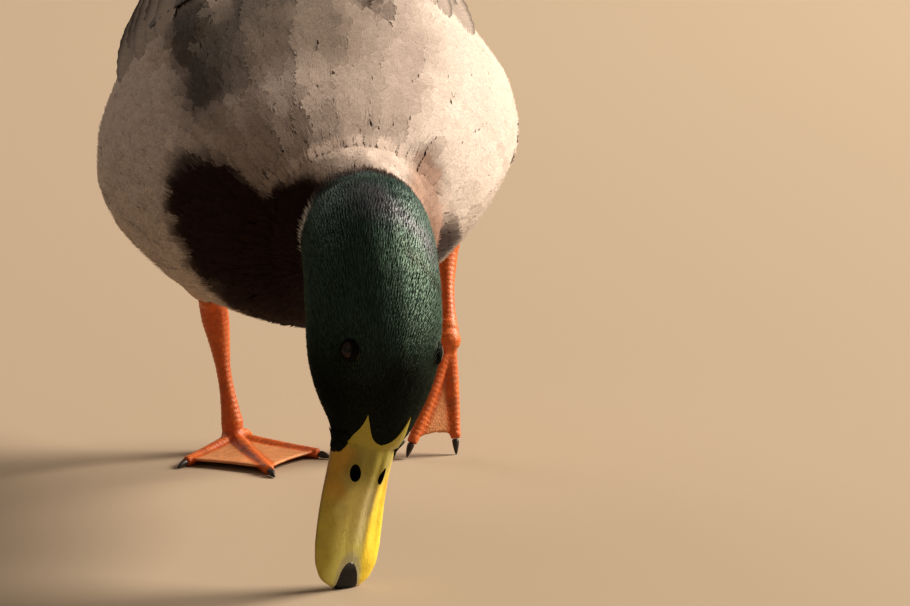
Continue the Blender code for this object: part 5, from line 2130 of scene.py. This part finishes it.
# %% Feather rows of the wings
PLAIN = dict(tooth=0.035, arch=0.10, slant=0.9, blunt=7.0, ridge=0.00018, root=0.35)
SOFT = dict(tooth=0.06, arch=0.12, slant=0.9, blunt=3.0, ridge=0.0001, root=0.3)
WING_ROWS = {
    "primary_quills": ("brown_feather", PRIMARIES, primary_feather, quill_finish,
                       dict(PLAIN, rows=18, blunt=4.0), [
        (236 + 3 * k, 296 + 7.2 * k, -0.75 + 0.18 * k, 0.25 * (k - 3) / 3, 8.0, -1.0 + 0.28 * k,
         0.3 + 0.24 * k) for k in range(7)]),
    "speculum": ("brown_feather", WING, speculum_feather, speculum_finish, dict(PLAIN, rows=18), [
        (176, 231 + 2.2 * k, -0.88 + 0.19 * k, -0.82 + 0.15 * k, 10.5, -0.6 + 0.12 * k,
         0.8 + 0.12 * k) for k in range(10)]),
    "greater_coverts": ("grey_feather", WING, covert_feather, quill_finish, dict(PLAIN, rows=14), [
        (138, 190 + 1.6 * k, -0.92 + 0.19 * k, -0.88 + 0.18 * k, 11.0, 0.0 + 0.1 * k, 1.7 + 0.1 * k)
        for k in range(8)]),
    "lesser_coverts": ("grey_feather", WING, lesser_feather, quill_finish,
                       dict(PLAIN, rows=12, blunt=5.0), [
        (u0 + 3 * (k % 2), u0 + 34 + 2 * (k % 2), -0.9 + 0.2 * k, -0.86 + 0.19 * k, 11.5, -1.0,
         2.2 + 0.1 * k) for u0 in (160, 149) for k in range(9)]),
    "tertial_quills": ("grey_feather", TERTIALS, brown_feather, quill_finish, dict(PLAIN, rows=20), [
        (178, 268 + 8.5 * k, -0.85 + 0.42 * k, -0.5 + 0.25 * k, 15.0 - 0.6 * k, 0.2 + 0.4 * k,
         0.6 + 0.45 * k) for k in range(4)]),
    "scapulars": ("grey_feather", WING, scapular_feather, body_finish, dict(SOFT, rows=16), [
        (112 + 13 * j + 4 * (k % 2), 112 + 13 * j + 48 + 4 * j + 3 * k, 0.15 + 0.30 * k,
         0.05 + 0.26 * k, 15.0, -1.0, 3.8 + 0.25 * k - 0.1 * j)
        for j in (4, 3, 2, 1) for k in range(5)]),
}
WING_NODES = {"primary_quills": "primaries", "tertial_quills": "tertials"}
for side_name, side in SIDES.items():
    for row, (slot, table, pattern, finish, shape, feathers) in WING_ROWS.items():
        piece = quill_row(f"{row}_{side_name}", slot, table, side, feathers, pattern, finish, **shape)
        if row in WING_NODES:
            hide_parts(f"{WING_NODES[row]}_{side_name}")
print("rows on each wing:", len(WING_ROWS))

# %% [markdown]
# ## The tail
# A fan of eighteen white feathers with dusky middles, laid from the outside in, so that the middle
# pair lies on top.

# %% Tail feathers
TAIL_COUNT = 18
tail_order = sorted(np.linspace(-1, 1, TAIL_COUNT), key=lambda t: -abs(t))
fan = [(290, 371 - 20 * abs(t) ** 1.6, t * 0.55, t * 0.92, 12.5, -3.2 + 2.4 * (1 - abs(t)),
        -0.6 + 1.6 * (1 - abs(t))) for t in tail_order]
tail = quill_row("tail_quills", "white_feather", TAIL, 1, fan, tail_feather, quill_finish, rows=20,
                 tooth=0.03, arch=0.08, slant=0.9, blunt=6.0, ridge=0.0002, root=0.4)
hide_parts("tail")
print("tail feathers:", len(fan))

# %% [markdown]
# ## The curled feathers over the tail
# Two black feathers of a drake's rump curl up over the tail. Each runs straight from its root and
# then round a circle, and is made by vanes as a single broad feather.

# %% Curls
CURL_ROOT, CURL_BASE, CURL_RADIUS, CURL_TURN, CURL_X = (270.0, 31.0), (304.0, 27.5), 10.5, 250.0, 4.6
CURL_LEAD, CURL_WIDTH, CURL_BLACK, CURL_SEED = 60, 8.5, (0.010, 0.012, 0.013), 5
curl_turns = np.concatenate([np.linspace(-CURL_LEAD, -10, 4), np.linspace(0, CURL_TURN, 20)])
black_finish = soft_feather("black_gloss_feather", streak=0.25, fringe=0.0, roughness=0.38,
                            sheen=0.0, bump=0.5)


def on_curl(side, turn):
    """Point and normal of a curl: on its straight lead below 0 degrees, and then on its circle."""
    if turn < 0:
        f = 1 + turn / CURL_LEAD
        u, h = (root + (base - root) * f for root, base in zip(CURL_ROOT, CURL_BASE))
        return on_trunk(u, side * CURL_X, h), ABOVE
    angle = math.radians(turn)
    out = ALONG * math.sin(angle) - ABOVE * math.cos(angle)
    middle = on_trunk(CURL_BASE[0], side * CURL_X, CURL_BASE[1] + CURL_RADIUS)
    return middle + out * CURL_RADIUS * MM, -out


for side_name, side in SIDES.items():
    curl_path, curl_normal = zip(*[on_curl(side, turn) for turn in curl_turns])
    made = vanes(np.array([curl_path]), np.array([curl_normal]), np.array([CURL_WIDTH * MM]),
                 np.random.default_rng(CURL_SEED), rows=30, tooth=0.10, arch=0.12, slant=0.8,
                 blunt=3.0, ridge=0.0003, root=0.3)
    curl = feather_piece(f"curl_{side_name}", made, np.array([(*CURL_BLACK, 0.0)]),
                         np.array([[0.5, 0.5]]), black_finish, patch=0.3)
    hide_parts(f"tail_curl_{side_name}")
print("each curl turns through", CURL_TURN, "degrees")
